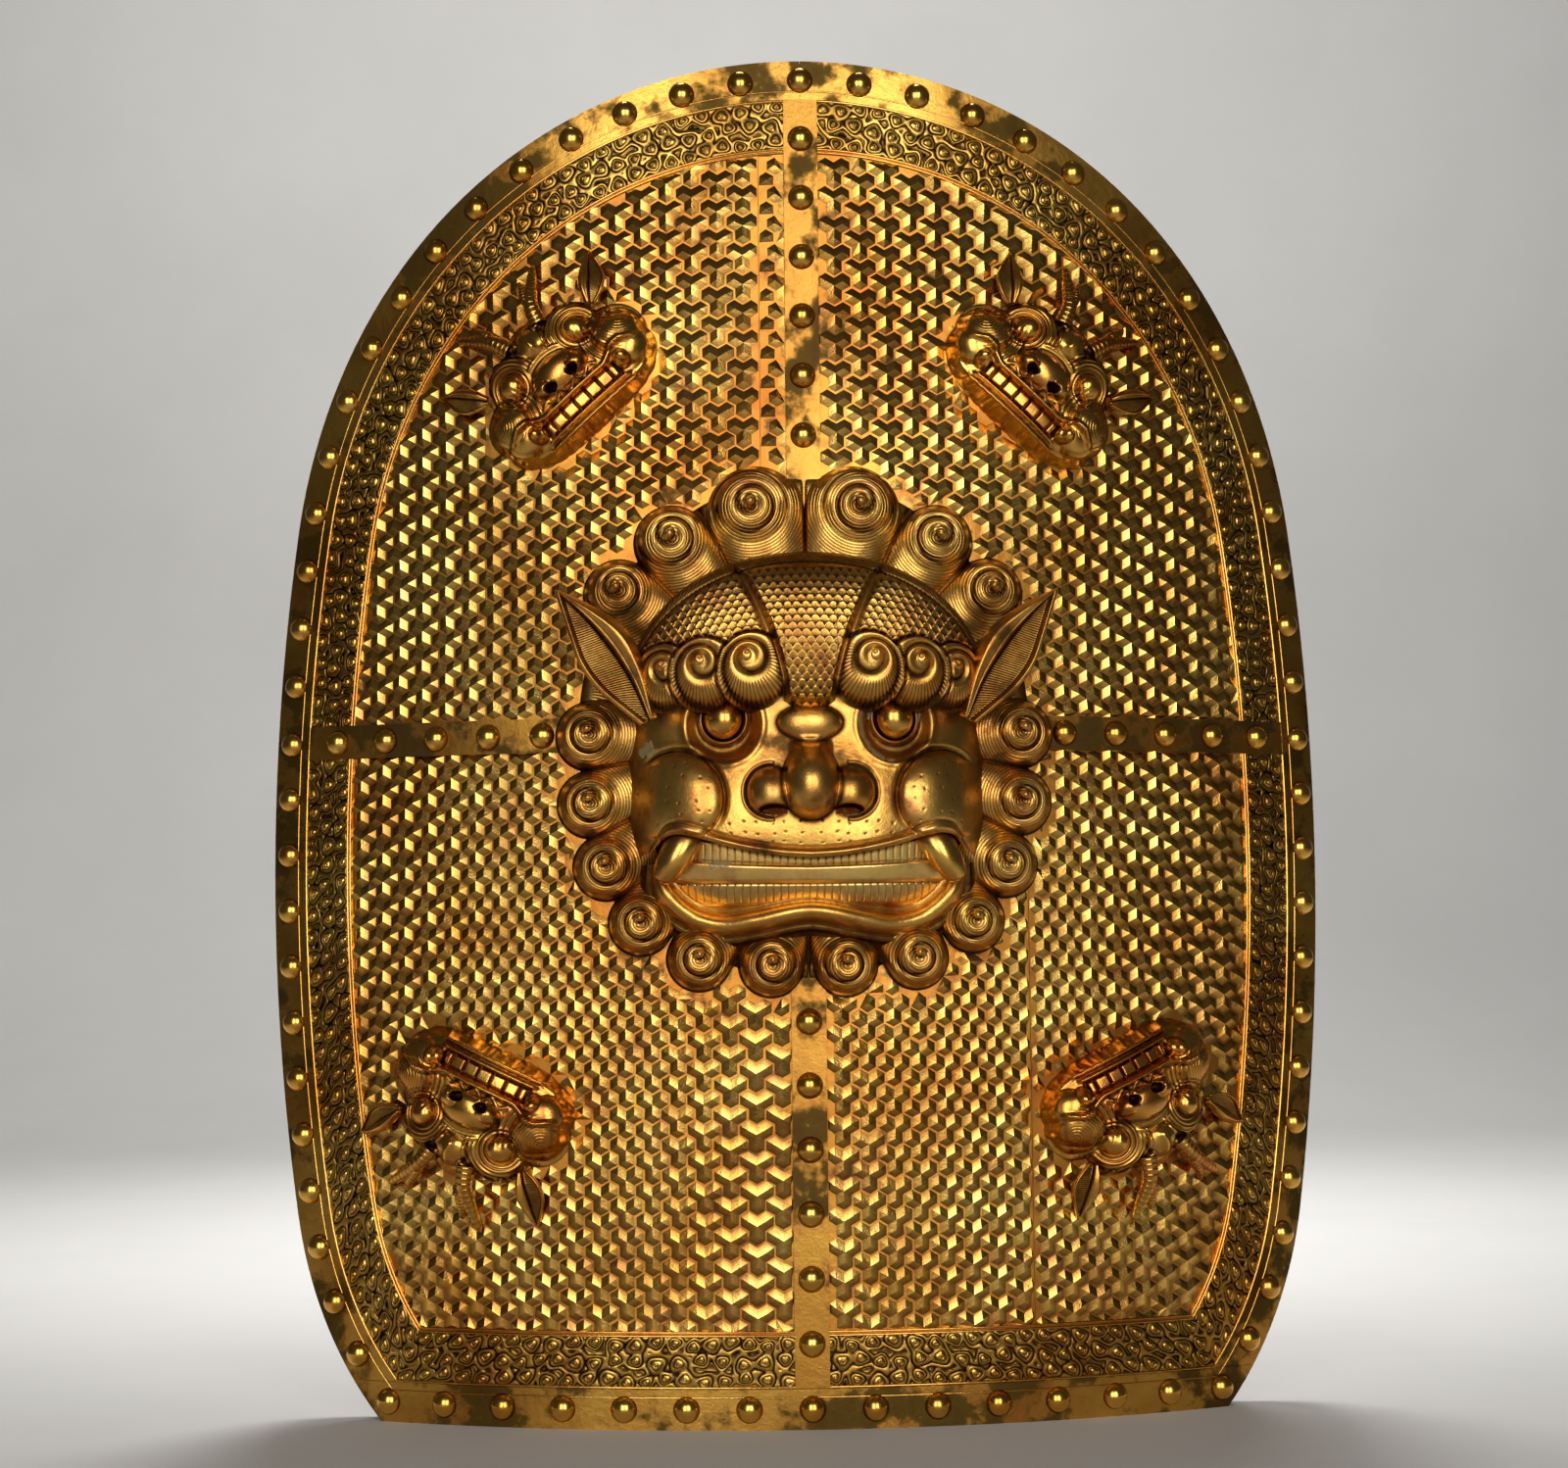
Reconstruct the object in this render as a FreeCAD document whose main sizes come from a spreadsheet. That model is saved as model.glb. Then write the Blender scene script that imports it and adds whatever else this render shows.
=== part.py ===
"""A gilded ceremonial shield: an arched board bent to part of a cylinder, faced with gilt copper.

The shield stands on its straight lower edge. +Z is up, +X is to the right of someone who faces the
shield, and the gilt front looks along -Y. The origin is on the floor, at the middle of the whole box.
A place on the curved front is given as a distance along the curve from the middle (across) and a
height. Angle 0 of the curve is the middle of the front.
"""
import FreeCAD
import Part
import math
import os
from types import SimpleNamespace
from FreeCAD import Vector

document = FreeCAD.newDocument("gilded_shield")

# Driving dimensions, in millimetres unless the name ends in degrees, share or count.
DIMENSIONS = [
    ("shield_height", 760.0),
    ("half_width", 318.6),
    ("bottom_half_width", 245.0),
    ("front_radius", 593.0),
    ("arch_radius_share", 0.9636),
    ("arch_end_degrees", 9.5),
    ("side_end_share", 0.145),
    ("sheet_wall", 1.0),
    ("board_wall", 8.0),
    ("lining_wall", 1.8),
    ("glue_gap", 0.1),
    ("stave_count", 8),
    ("stave_gap", 0.2),
    ("rim_width", 22.0),
    ("rim_wall", 1.3),
    ("rim_edge_wall", 1.2),
    ("seam_gap", 0.3),
    ("upper_seam_across", 24.0),
    ("lower_seam_across", 125.0),
    ("strap_width", 19.0),
    ("strap_wall", 2.0),
    ("strap_tuck", 28.0),
    ("crossing_height", 380.0),
    ("rivet_head_radius", 7.3),
    ("rivet_head_height", 5.6),
    ("rivet_shank_radius", 1.9),
    ("rivet_clearance", 0.1),
    ("burr_radius", 5.5),
    ("burr_wall", 1.2),
    ("peen_height", 1.0),
    ("arch_rivet_count", 16),
    ("side_rivet_count", 12),
    ("bottom_rivet_count", 14),
    ("top_strap_rivet_count", 6),
    ("top_strap_rivet_pitch", 33.8),
    ("bottom_strap_rivet_count", 6),
    ("bottom_strap_rivet_pitch", 34.9),
    ("side_strap_rivet_count", 5),
    ("side_strap_rivet_pitch", 31.6),
    ("mask_wall", 1.4),
    ("mask_gap", 0.3),
    ("mane_half_width", 126.0),
    ("mane_half_height", 134.0),
    ("mane_middle_lift", 2.0),
    ("mane_depth", 17.0),
    ("curl_depth", 24.0),
    ("curl_radius", 21.0),
    ("curl_inset", 6.0),
    ("face_half_width", 97.0),
    ("face_top", 24.0),
    ("face_bottom", 108.0),
    ("face_depth", 48.0),
    ("brow_half_width", 96.0),
    ("brow_top", 100.0),
    ("brow_bottom", 12.0),
    ("brow_depth", 58.0),
    ("brow_curl_radius", 12.0),
    ("eye_radius", 9.5),
    ("eye_across", 44.0),
    ("eye_up", 7.0),
    ("eye_proud", 6.0),
    ("nose_reach", 68.0),
    ("nose_radius", 16.0),
    ("nostril_radius", 12.0),
    ("nostril_across", 22.0),
    ("nose_down", 22.0),
    ("cheek_radius", 24.0),
    ("cheek_across", 68.0),
    ("cheek_down", 27.0),
    ("mouth_half_width", 76.0),
    ("mouth_top", 62.0),
    ("mouth_bottom", 92.0),
    ("teeth_back", 9.0),
    ("lip_radius", 6.0),
    ("fang_radius", 8.5),
    ("fang_length", 32.0),
    ("ear_length", 92.0),
    ("ear_width", 33.0),
    ("ear_wall", 3.0),
    ("ear_lift", 26.0),
    ("ear_root_across", 80.0),
    ("ear_root_up", 2.0),
    ("ear_out_degrees", 40.0),
    ("ear_forward_degrees", 10.0),
    ("mask_pin_radius", 3.0),
    ("mask_pin_reach", 10.0),
    ("head_span", 58.0),
    ("head_depth", 34.0),
    ("head_wall", 1.3),
    ("upper_head_across", 143.0),
    ("upper_head_up", 211.0),
    ("upper_head_degrees", 42.0),
    ("lower_head_across", 191.0),
    ("lower_head_down", 218.0),
    ("lower_head_degrees", 155.0),
    ("grip_across", 95.0),
    ("grip_length", 124.0),
    ("grip_radius", 13.0),
    ("grip_waist", 11.0),
    ("grip_stand", 50.0),
    ("tenon_radius", 6.0),
    ("tenon_length", 8.0),
    ("tenon_clearance", 0.1),
    ("bracket_wall", 4.0),
    ("bracket_width", 26.0),
    ("bracket_foot_length", 46.0),
    ("bracket_rivet_share", 0.6),
    ("arm_across", 95.0),
    ("arm_strap_width", 46.0),
    ("arm_strap_wall", 4.0),
    ("arm_loop_half_height", 62.0),
    ("arm_loop_depth", 70.0),
    ("arm_tab_length", 40.0),
    ("soft_gap", 0.3),
    ("anchor_wall", 2.0),
    ("anchor_margin", 4.0),
    ("small_rivet_radius", 4.5),
    ("small_rivet_height", 2.6),
    ("small_shank_radius", 1.5),
    ("ring_radius", 19.0),
    ("ring_wire", 2.6),
    ("ring_rivet_share", 4.5),
    ("barrel_radius", 3.2),
    ("barrel_length", 12.0),
    ("eye_wall", 3.6),
    ("eye_width", 5.0),
    ("eye_shank_radius", 2.2),
    ("ring_clearance", 0.4),
    ("eye_stand", 0.5),
    ("blind_margin", 1.0),
    ("overrun", 30.0),
]

sheet = document.addObject("Spreadsheet::Sheet", "Sizes")
for row, (alias, amount) in enumerate(DIMENSIONS, start=1):
    sheet.set("A%d" % row, alias)
    sheet.set("B%d" % row, str(amount))
    sheet.setAlias("B%d" % row, alias)
document.recompute()
d = SimpleNamespace(**{alias: float(getattr(sheet, alias)) for alias, amount in DIMENSIONS})

# Radii of the layers, from the front to the back of the wall.
R_FRONT = d.front_radius
R_SHEET_BACK = R_FRONT - d.sheet_wall
R_BOARD_FRONT = R_SHEET_BACK - d.glue_gap
R_BOARD_BACK = R_BOARD_FRONT - d.board_wall
R_LINING_FRONT = R_BOARD_BACK - d.glue_gap
R_LINING_BACK = R_LINING_FRONT - d.lining_wall
R_RIM_FRONT = R_FRONT + d.glue_gap + d.rim_wall
R_RIM_BACK = R_LINING_BACK - d.glue_gap - d.rim_wall
R_STRAP_FRONT = R_FRONT + d.glue_gap + d.strap_wall
R_MASK_SEAT = R_STRAP_FRONT + d.glue_gap
R_HEAD_SEAT = R_FRONT + d.glue_gap

# The widest place of the board, where the back of the rim is the rearmost edge of the shield.
HALF_SPAN = d.front_radius * math.sin(d.half_width / d.front_radius)
RIM_REAR = d.front_radius - math.sqrt(R_RIM_BACK ** 2 - HALF_SPAN ** 2)
ARM_REAR = d.front_radius - (R_LINING_BACK - d.soft_gap - d.arm_loop_depth - d.arm_strap_wall)
REAR_REACH = max(RIM_REAR, ARM_REAR)
AXIS_Y = d.front_radius + (d.nose_reach - REAR_REACH) / 2
AXIS = Vector(0, AXIS_Y, 0)
parts = []


def keep(name, shape):
    """Store a shape as a named piece of the document."""
    if shape.ShapeType == "Compound" and len(shape.Solids) == 1:
        shape = shape.Solids[0]
    feature = document.addObject("Part::Feature", name)
    feature.Shape = shape
    feature.Label = name
    parts.append(feature)
    return feature


def keep_object(item, name):
    """Keep a parametric object of the document as a named piece."""
    item.Label = name
    parts.append(item)
    return item


def cylinder(radius, low=None, high=None):
    """An upright solid cylinder about the axis of the shield's curve."""
    low = -d.overrun if low is None else low
    high = d.shield_height + d.overrun if high is None else high
    return Part.makeCylinder(radius, high - low, Vector(0, AXIS_Y, low))


def layer(inner, outer, low=None, high=None):
    """A layer of the wall, between two radii."""
    return cylinder(outer, low, high).cut(cylinder(inner, low, high))


def block(left, right, low, high):
    """A box through the whole wall, between two sides and two heights."""
    front = -d.nose_reach - d.overrun
    depth = d.nose_reach + REAR_REACH + 2 * d.overrun
    return Part.makeBox(right - left, depth, high - low, Vector(left, front + AXIS_Y - R_FRONT, low))


def side_at(across):
    """The x of a place that is so far along the curve from the middle."""
    return R_FRONT * math.sin(across / R_FRONT)


def turned(shape, across, height):
    """Move a shape from the middle of the front, at height 0, round the curve and up."""
    moved = shape.copy()
    moved.rotate(AXIS, Vector(0, 0, 1), math.degrees(across / R_FRONT))
    moved.translate(Vector(0, 0, height))
    return moved


def outline_arcs(inset):
    """The three tangent arcs of the right side, flat, as centre, radius, first and last angle."""
    arch = d.arch_radius_share * d.half_width
    first = math.radians(d.arch_end_degrees)
    side = d.half_width * (1 - d.arch_radius_share * math.cos(first)) / (1 - math.cos(first))
    arch_up = d.shield_height - arch
    side_up = arch_up + (arch - side) * math.sin(first)
    side_across = (arch - side) * math.cos(first)
    last_up = d.side_end_share * d.shield_height
    second = -math.asin((side_up - last_up) / side)
    joint = Vector(side_across + side * math.cos(second), 0, last_up)
    inward = Vector(-math.cos(second), 0, -math.sin(second))
    chord = Vector(d.bottom_half_width, 0, 0) - joint
    lower = chord.Length ** 2 / (2 * chord.dot(inward))
    centre = joint + inward * lower
    third = math.asin((inset - centre.z) / (lower - inset))
    return [
        ((0.0, arch_up), arch - inset, math.pi / 2, first),
        ((side_across, side_up), side - inset, first, second),
        ((centre.x, centre.z), lower - inset, second, third),
    ]


def arc_point(arc, share):
    """A point of an arc, as the distance across and the height."""
    (across, up), radius, first, last = arc
    angle = first + (last - first) * share
    return across + radius * math.cos(angle), up + radius * math.sin(angle)


# How many points draw one arc of the outline, and one arc of the line that the rivets follow.
ARC_STEPS = 10
LINE_STEPS = 40


def prism(inset):
    """The outline of the board, drawn in by an inset and carried straight from front to back."""
    front = AXIS_Y - R_FRONT - d.nose_reach - d.overrun
    depth = d.nose_reach + REAR_REACH + 2 * d.overrun
    edges = []
    for arc in outline_arcs(inset):
        flat = [arc_point(arc, step / ARC_STEPS) for step in range(ARC_STEPS + 1)]
        for mirror in (1, -1):
            points = [Vector(mirror * side_at(across), front, up) for across, up in flat]
            curve = Part.BSplineCurve()
            curve.interpolate(points)
            edges.append(curve.toShape())
    across, up = arc_point(outline_arcs(inset)[2], 1)
    corner = side_at(across)
    edges.append(Part.makeLine(Vector(-corner, front, inset), Vector(corner, front, inset)))
    wire = Part.Wire(Part.sortEdges(edges)[0])
    return Part.Face(wire).extrude(Vector(0, depth, 0))


def rim_places():
    """Places of the rivets on the rim, as across and height, evenly along its middle line."""
    inset = d.rim_width / 2
    arcs = outline_arcs(inset)
    line = []
    for arc in arcs:
        line += [arc_point(arc, step / LINE_STEPS) for step in range(LINE_STEPS + 1)]
    lengths = [0.0]
    for before, after in zip(line, line[1:]):
        lengths.append(lengths[-1] + math.dist(before, after))

    def at(length):
        for index in range(1, len(line)):
            if lengths[index] >= length and lengths[index] > lengths[index - 1]:
                share = (length - lengths[index - 1]) / (lengths[index] - lengths[index - 1])
                low, high = line[index - 1], line[index]
                return tuple(a + (b - a) * share for a, b in zip(low, high))
        return line[-1]

    level = next(i for i, point in enumerate(line) if point[1] <= d.crossing_height)
    upper = lengths[level - 1] + line[level - 1][1] - d.crossing_height
    total = lengths[-1]
    places = [(0.0, d.shield_height - inset)]
    stops = [upper * i / d.arch_rivet_count for i in range(1, int(d.arch_rivet_count) + 1)]
    rest = (total - upper) / d.side_rivet_count
    stops += [upper + rest * i for i in range(1, int(d.side_rivet_count) + 1)]
    for stop in stops:
        across, up = at(stop)
        places += [(across, up), (-across, up)]
    corner = at(total)[0]
    count = int(d.bottom_rivet_count)
    places += [(-corner + 2 * corner * i / count, inset) for i in range(1, count)]
    return places


def strap_places():
    """Places of the rivets on each strap, from the rim towards the mask."""
    middle = d.rim_width / 2
    edge = arc_edge(d.crossing_height) - middle
    top = [(0.0, d.shield_height - middle - i * d.top_strap_rivet_pitch)
           for i in range(1, int(d.top_strap_rivet_count) + 1)]
    bottom = [(0.0, middle + i * d.bottom_strap_rivet_pitch)
              for i in range(1, int(d.bottom_strap_rivet_count) + 1)]
    right = [(edge - i * d.side_strap_rivet_pitch, d.crossing_height)
             for i in range(1, int(d.side_strap_rivet_count) + 1)]
    left = [(-across, up) for across, up in right]
    return {"top": top, "bottom": bottom, "left": left, "right": right}


def arc_edge(height):
    """The distance across from the middle to the edge of the board at a height."""
    (across, up), radius, first, last = outline_arcs(0)[1]
    return across + math.sqrt(radius ** 2 - (height - up) ** 2)


def rivet(head_radius, head_height, seat, shank_radius, tail):
    """A dome-headed rivet at the middle of the front, from its seat back to the end of its tail."""
    seat_y = AXIS_Y - seat
    tail_y = AXIS_Y - tail
    rise = (head_radius ** 2 + head_height ** 2) / (2 * head_height)
    dome = Part.makeSphere(rise, Vector(0, seat_y - head_height + rise, 0))
    cap = Part.makeCylinder(rise, head_height, Vector(0, seat_y - head_height, 0), Vector(0, 1, 0))
    shank = Part.makeCylinder(shank_radius, tail_y - seat_y, Vector(0, seat_y, 0), Vector(0, 1, 0))
    return dome.common(cap).fuse(shank).removeSplitter()


def drills(places, radius):
    """Cylinders through the whole wall at the places of the rivets."""
    start = AXIS_Y - R_FRONT - d.overrun
    drill = Part.makeCylinder(radius, R_FRONT - R_RIM_BACK + 2 * d.overrun,
                              Vector(0, start, 0), Vector(0, 1, 0))
    return [turned(drill, across, up) for across, up in places]


def drilled(shape, tools):
    """Cut the tools that reach a shape."""
    box = shape.BoundBox
    near = [tool for tool in tools if tool.BoundBox.intersect(box)]
    return shape.cut(near) if near else shape


RIM_PLACES = rim_places()
STRAP_PLACES = strap_places()
ALL_STRAP_PLACES = [place for places in STRAP_PLACES.values() for place in places]
SHANK_BORE = d.rivet_shank_radius + d.rivet_clearance
RIM_DRILLS = drills(RIM_PLACES, SHANK_BORE)
STRAP_DRILLS = drills(ALL_STRAP_PLACES, SHANK_BORE)

# Places that pin the mask from behind, from the middle of the crossing.
MASK_PIN_SHARES = [(0.40, 0.75), (-0.40, 0.75), (0.40, -0.86), (-0.40, -0.86)]
MASK_PLACES = [(x * d.mane_half_width, d.crossing_height + z * d.mane_half_height)
               for x, z in MASK_PIN_SHARES]
MASK_DRILLS = drills(MASK_PLACES, d.mask_pin_radius + d.rivet_clearance)
HEAD_PLACES = [(-d.upper_head_across, d.crossing_height + d.upper_head_up),
               (d.upper_head_across, d.crossing_height + d.upper_head_up),
               (-d.lower_head_across, d.crossing_height - d.lower_head_down),
               (d.lower_head_across, d.crossing_height - d.lower_head_down)]
HEAD_DRILLS = drills(HEAD_PLACES, d.mask_pin_radius + d.rivet_clearance)
WALL_DRILLS = RIM_DRILLS + STRAP_DRILLS + MASK_DRILLS + HEAD_DRILLS


def blind_drills(places, radius):
    """Cylinders from behind that stop short of the gilt sheet."""
    start = AXIS_Y - R_BOARD_FRONT + d.blind_margin
    depth = R_FRONT - R_RIM_BACK + d.overrun
    drill = Part.makeCylinder(radius, depth, Vector(0, start, 0), Vector(0, 1, 0))
    return [turned(drill, across, up) for across, up in places]


GRIP_FOOT_MIDDLE = d.grip_length / 2 + d.bracket_foot_length * d.bracket_rivet_share
GRIP_PLACES = [(-d.grip_across + side * d.bracket_width / 4, d.crossing_height + end * GRIP_FOOT_MIDDLE)
               for side in (-1, 1) for end in (-1, 1)]
TAB_MIDDLE = d.arm_loop_half_height + d.arm_strap_wall + d.arm_tab_length / 2
ARM_PLACES = [(d.arm_across + side * d.arm_strap_width / 4, d.crossing_height + end * TAB_MIDDLE)
              for side in (-1, 1) for end in (-1, 1)]
RING_HEIGHT = d.shield_height - d.rim_width / 2 - d.ring_rivet_share * d.top_strap_rivet_pitch
EYE_PLACE = [(0.0, RING_HEIGHT)]
SMALL_DRILLS = blind_drills(GRIP_PLACES + ARM_PLACES, d.small_shank_radius + d.rivet_clearance)
EYE_DRILLS = blind_drills(EYE_PLACE, d.eye_shank_radius + d.rivet_clearance)
BACK_DRILLS = SMALL_DRILLS + EYE_DRILLS


def board_staves():
    """The wooden board, of upright staves side by side."""
    board = layer(R_BOARD_BACK, R_BOARD_FRONT).common(prism(d.rim_edge_wall + d.glue_gap))
    count = int(d.stave_count)
    width = 2 * HALF_SPAN / count
    for index in range(count):
        left = -HALF_SPAN + index * width + d.stave_gap / 2
        right = left + width - d.stave_gap
        stave = board.common(block(left, right, -d.overrun, d.shield_height + d.overrun))
        keep("board_stave_%d" % (index + 1), drilled(stave, WALL_DRILLS + BACK_DRILLS))


def gilt_panels():
    """The gilt copper facing, of five sheets that meet at the straps and at one seam."""
    facing = layer(R_SHEET_BACK, R_FRONT).common(prism(d.rim_edge_wall + d.glue_gap))
    half = d.seam_gap / 2
    edge = HALF_SPAN + d.overrun
    top = d.shield_height + d.overrun
    seam = -side_at(d.upper_seam_across)
    lower_seam = side_at(d.lower_seam_across)
    level = d.crossing_height
    cells = {
        "upper_left_panel": (-edge, seam - half, level + half, top),
        "upper_right_panel": (seam + half, edge, level + half, top),
        "lower_left_panel": (-edge, -half, -d.overrun, level - half),
        "lower_middle_panel": (half, lower_seam - half, -d.overrun, level - half),
        "lower_right_panel": (lower_seam + half, edge, -d.overrun, level - half),
    }
    for name, cell in cells.items():
        keep(name, drilled(facing.common(block(*cell)), WALL_DRILLS))


def leather_lining():
    """The leather that covers the back of the board, with the rim's back leg over its edge."""
    lining = layer(R_LINING_BACK, R_LINING_FRONT).common(prism(d.rim_edge_wall + d.glue_gap))
    keep("leather_lining", drilled(lining, WALL_DRILLS + BACK_DRILLS))


def rim_binding():
    """The channel that wraps the edge of the board, in five lengths."""
    channel = layer(R_RIM_BACK, R_RIM_FRONT).common(prism(0))
    hollow = layer(R_LINING_BACK - d.glue_gap, R_FRONT + d.glue_gap).common(prism(d.rim_edge_wall))
    channel = channel.cut(hollow).cut(prism(d.rim_width))
    half = d.seam_gap / 2
    edge = HALF_SPAN + d.overrun
    top = d.shield_height + d.overrun
    cells = {
        "rim_arch_left": (-edge, -half, d.crossing_height + half, top),
        "rim_arch_right": (half, edge, d.crossing_height + half, top),
        "rim_side_left": (-edge, 0, d.rim_width + half, d.crossing_height - half),
        "rim_side_right": (0, edge, d.rim_width + half, d.crossing_height - half),
        "rim_bottom": (-edge, edge, -d.overrun, d.rim_width - half),
    }
    for name, cell in cells.items():
        keep(name, drilled(channel.common(block(*cell)), RIM_DRILLS))


def straps():
    """Four flat straps that run from the rim in under the mask."""
    body = layer(R_FRONT + d.glue_gap, R_STRAP_FRONT)
    inner = prism(d.rim_width + d.seam_gap)
    half = d.strap_width / 2
    level = d.crossing_height
    reach_up = d.mane_half_height - d.strap_tuck
    reach_side = side_at(d.mane_half_width - d.strap_tuck)
    edge = HALF_SPAN + d.overrun
    top = d.shield_height + d.overrun
    cells = {
        "top_strap": (-half, half, level + reach_up, top),
        "bottom_strap": (-half, half, -d.overrun, level - reach_up),
        "left_strap": (-edge, -reach_side, level - half, level + half),
        "right_strap": (reach_side, edge, level - half, level + half),
    }
    for name, cell in cells.items():
        keep(name, drilled(body.common(inner).common(block(*cell)), STRAP_DRILLS))


def rivets_and_burrs():
    """Dome-headed rivets in one row on the rim and on each strap, closed over burrs at the back."""
    rim_tail = R_RIM_BACK - d.glue_gap - d.burr_wall - d.peen_height
    strap_tail = R_LINING_BACK - d.glue_gap - d.burr_wall - d.peen_height
    rim_one = rivet(d.rivet_head_radius, d.rivet_head_height, R_RIM_FRONT + d.glue_gap,
                    d.rivet_shank_radius, rim_tail)
    strap_one = rivet(d.rivet_head_radius, d.rivet_head_height, R_STRAP_FRONT + d.glue_gap,
                      d.rivet_shank_radius, strap_tail)
    keep("rim_rivets", Part.Compound([turned(rim_one, *place) for place in RIM_PLACES]))
    for side, places in STRAP_PLACES.items():
        keep(side + "_strap_rivets", Part.Compound([turned(strap_one, *place) for place in places]))
    for name, seat, places in (("rim_burrs", R_RIM_BACK - d.glue_gap, RIM_PLACES),
                               ("strap_burrs", R_LINING_BACK - d.glue_gap, ALL_STRAP_PLACES)):
        start = Vector(0, AXIS_Y - seat, 0)
        burr = Part.makeCylinder(d.burr_radius, d.burr_wall, start, Vector(0, 1, 0))
        burr = burr.cut(Part.makeCylinder(SHANK_BORE, d.burr_wall, start, Vector(0, 1, 0)))
        keep(name, Part.Compound([turned(burr, *place) for place in places]))


FRONT_Y = AXIS_Y - R_FRONT


SECTION_STEPS = 8


def section(half_width, depth, height, fullness):
    """One level slice of a bulging form: a superellipse over the front, closed far behind it."""
    back = FRONT_Y + d.overrun
    rim = FRONT_Y + d.mask_wall
    points = []
    for step in range(SECTION_STEPS + 1):
        angle = math.pi * step / SECTION_STEPS
        across = math.copysign(abs(math.cos(angle)) ** (2 / fullness), -math.cos(angle))
        out = max(math.sin(angle), 0.0) ** (2 / fullness)
        points.append(Vector(half_width * across, rim - (depth + d.mask_wall) * out, height))
    front = Part.BSplineCurve()
    front.interpolate(points)
    deep_right = Vector(half_width, back, height)
    deep_left = Vector(-half_width, back, height)
    edges = [front.toShape(), Part.makeLine(points[-1], deep_right),
             Part.makeLine(deep_right, deep_left), Part.makeLine(deep_left, points[0])]
    return Part.Wire(edges)


def bulge(rows, half_width, depth, low, high, grow, fullness):
    """A form lofted through level slices. Each row is a share of the height, width and depth."""
    wires = []
    for up_share, width_share, depth_share in rows:
        up = low + (high - low) * up_share
        if up_share == rows[0][0]:
            up -= grow
        if up_share == rows[-1][0]:
            up += grow
        wires.append(section(half_width * width_share + grow, depth * depth_share + grow,
                             d.crossing_height + up, fullness))
    return Part.makeLoft(wires, True, False)


def ball(x, depth, up, radius):
    """A sphere whose centre is so far in front of the middle of the sheet."""
    return Part.makeSphere(radius, Vector(x, FRONT_Y - depth, d.crossing_height + up))


def largest(shape):
    """The largest solid of a shape, without the scraps that a cut leaves."""
    return max(shape.Solids, key=lambda solid: solid.Volume)


def capsule(start, end, radius):
    """A round bar with round ends between two points, each as x, distance in front, and up."""
    first, last = (Vector(x, FRONT_Y - depth, d.crossing_height + up) for x, depth, up in (start, end))
    bar = Part.makeCylinder(radius, (last - first).Length, first, last - first)
    return bar.fuse([Part.makeSphere(radius, first), Part.makeSphere(radius, last)])


def horn(start, end, root, tip):
    """A tapered horn between two points, each as x, distance in front, and up."""
    first, last = (Vector(x, FRONT_Y - depth, d.crossing_height + up) for x, depth, up in (start, end))
    return Part.makeCone(root, tip, (last - first).Length, first, last - first)


def joined(shapes):
    """One solid of several."""
    whole = shapes[0].fuse(shapes[1:]) if len(shapes) > 1 else shapes[0]
    return whole


# How square the slices are: 2 is an ellipse, and more is fuller at the sides.
FACE_FULLNESS = 2.3
MANE_FULLNESS = 3.4
# Slices of the face from chin to brow, and of the brow from the eyes to its top.
FACE_SHARES = [(0.0, 0.55, 0.50), (0.16, 0.86, 0.80), (0.42, 0.98, 0.98), (0.66, 1.0, 0.94),
               (0.85, 1.0, 0.80), (1.0, 0.96, 0.80)]
BROW_SHARES = [(0.0, 0.96, 0.80), (0.30, 1.0, 1.0), (0.60, 0.86, 0.95), (0.82, 0.60, 0.74),
               (0.95, 0.34, 0.52), (1.0, 0.20, 0.42)]
MANE_SHARES = [(0.03, 0.40, 0.55), (0.15, 0.74, 0.86), (0.35, 0.96, 1.0), (0.60, 1.0, 1.0),
               (0.82, 0.80, 0.92), (0.95, 0.50, 0.72), (1.0, 0.30, 0.60)]
# The nose's bridge: its radius, and how far it lies behind the tip, as shares of the nose's radius.
BRIDGE_SHARES = (0.8, 1.3)
# The lower lip's line on the right half: across, depth and height, as shares of the mouth's half
# width, the lip's depth and the lip's radius below the mouth's lower edge.
LIP_DEPTH_SHARE = 0.80
LIP_SHARES = [(0.72, 0.82, 1.0), (0.0, 1.0, 0.5)]
CORNER_DEPTH_SHARE = 0.5
# Curls of the brow on the right half: across, depth and height, as shares of the brow's half width,
# depth and top.
BROW_CURL_SHARES = [(0.375, 0.88, 0.42), (0.667, 0.66, 0.42), (0.875, 0.40, 0.42)]
# The mouth's outline: how far its corners hang and where its lower edge is lowest, as shares of the
# mouth's top and half width.
CORNER_DROP_SHARE = 0.2
MOUTH_LOW_SHARE = 0.72
# Depth of the eyes as a share of the face's, and the fangs' roots and tips: across, depth and height,
# as shares of the mouth's half width, the face's depth and the mouth's top.
EYE_DEPTH_SHARE = 0.86
FANG_ROOT_SHARES = (0.88, 0.50, 0.80)
FANG_TIP_SHARES = (1.06, 0.45, 0.80)
FANG_TIP_RADIUS_SHARE = 1 / 6
# An ear's widest place as a share of its length, the radius it is cupped to and the depth of the
# blank it is cut from, as shares of its width.
EAR_WIDEST_SHARE = 0.42
EAR_CUP_SHARE = 1.1
EAR_BLANK_SHARE = 4
# Curls of the mane on the right half, as shares of its half width and half height.
CURL_SHARES = [(0.25, 0.985, 1.12), (0.615, 0.825, 1.0), (0.86, 0.60, 1.0), (1.0, -0.01, 0.95),
               (1.0, -0.295, 0.95), (0.926, -0.568, 0.92), (0.77, -0.81, 0.90), (0.50, -0.962, 0.84),
               (0.172, -0.985, 0.82)]


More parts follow.
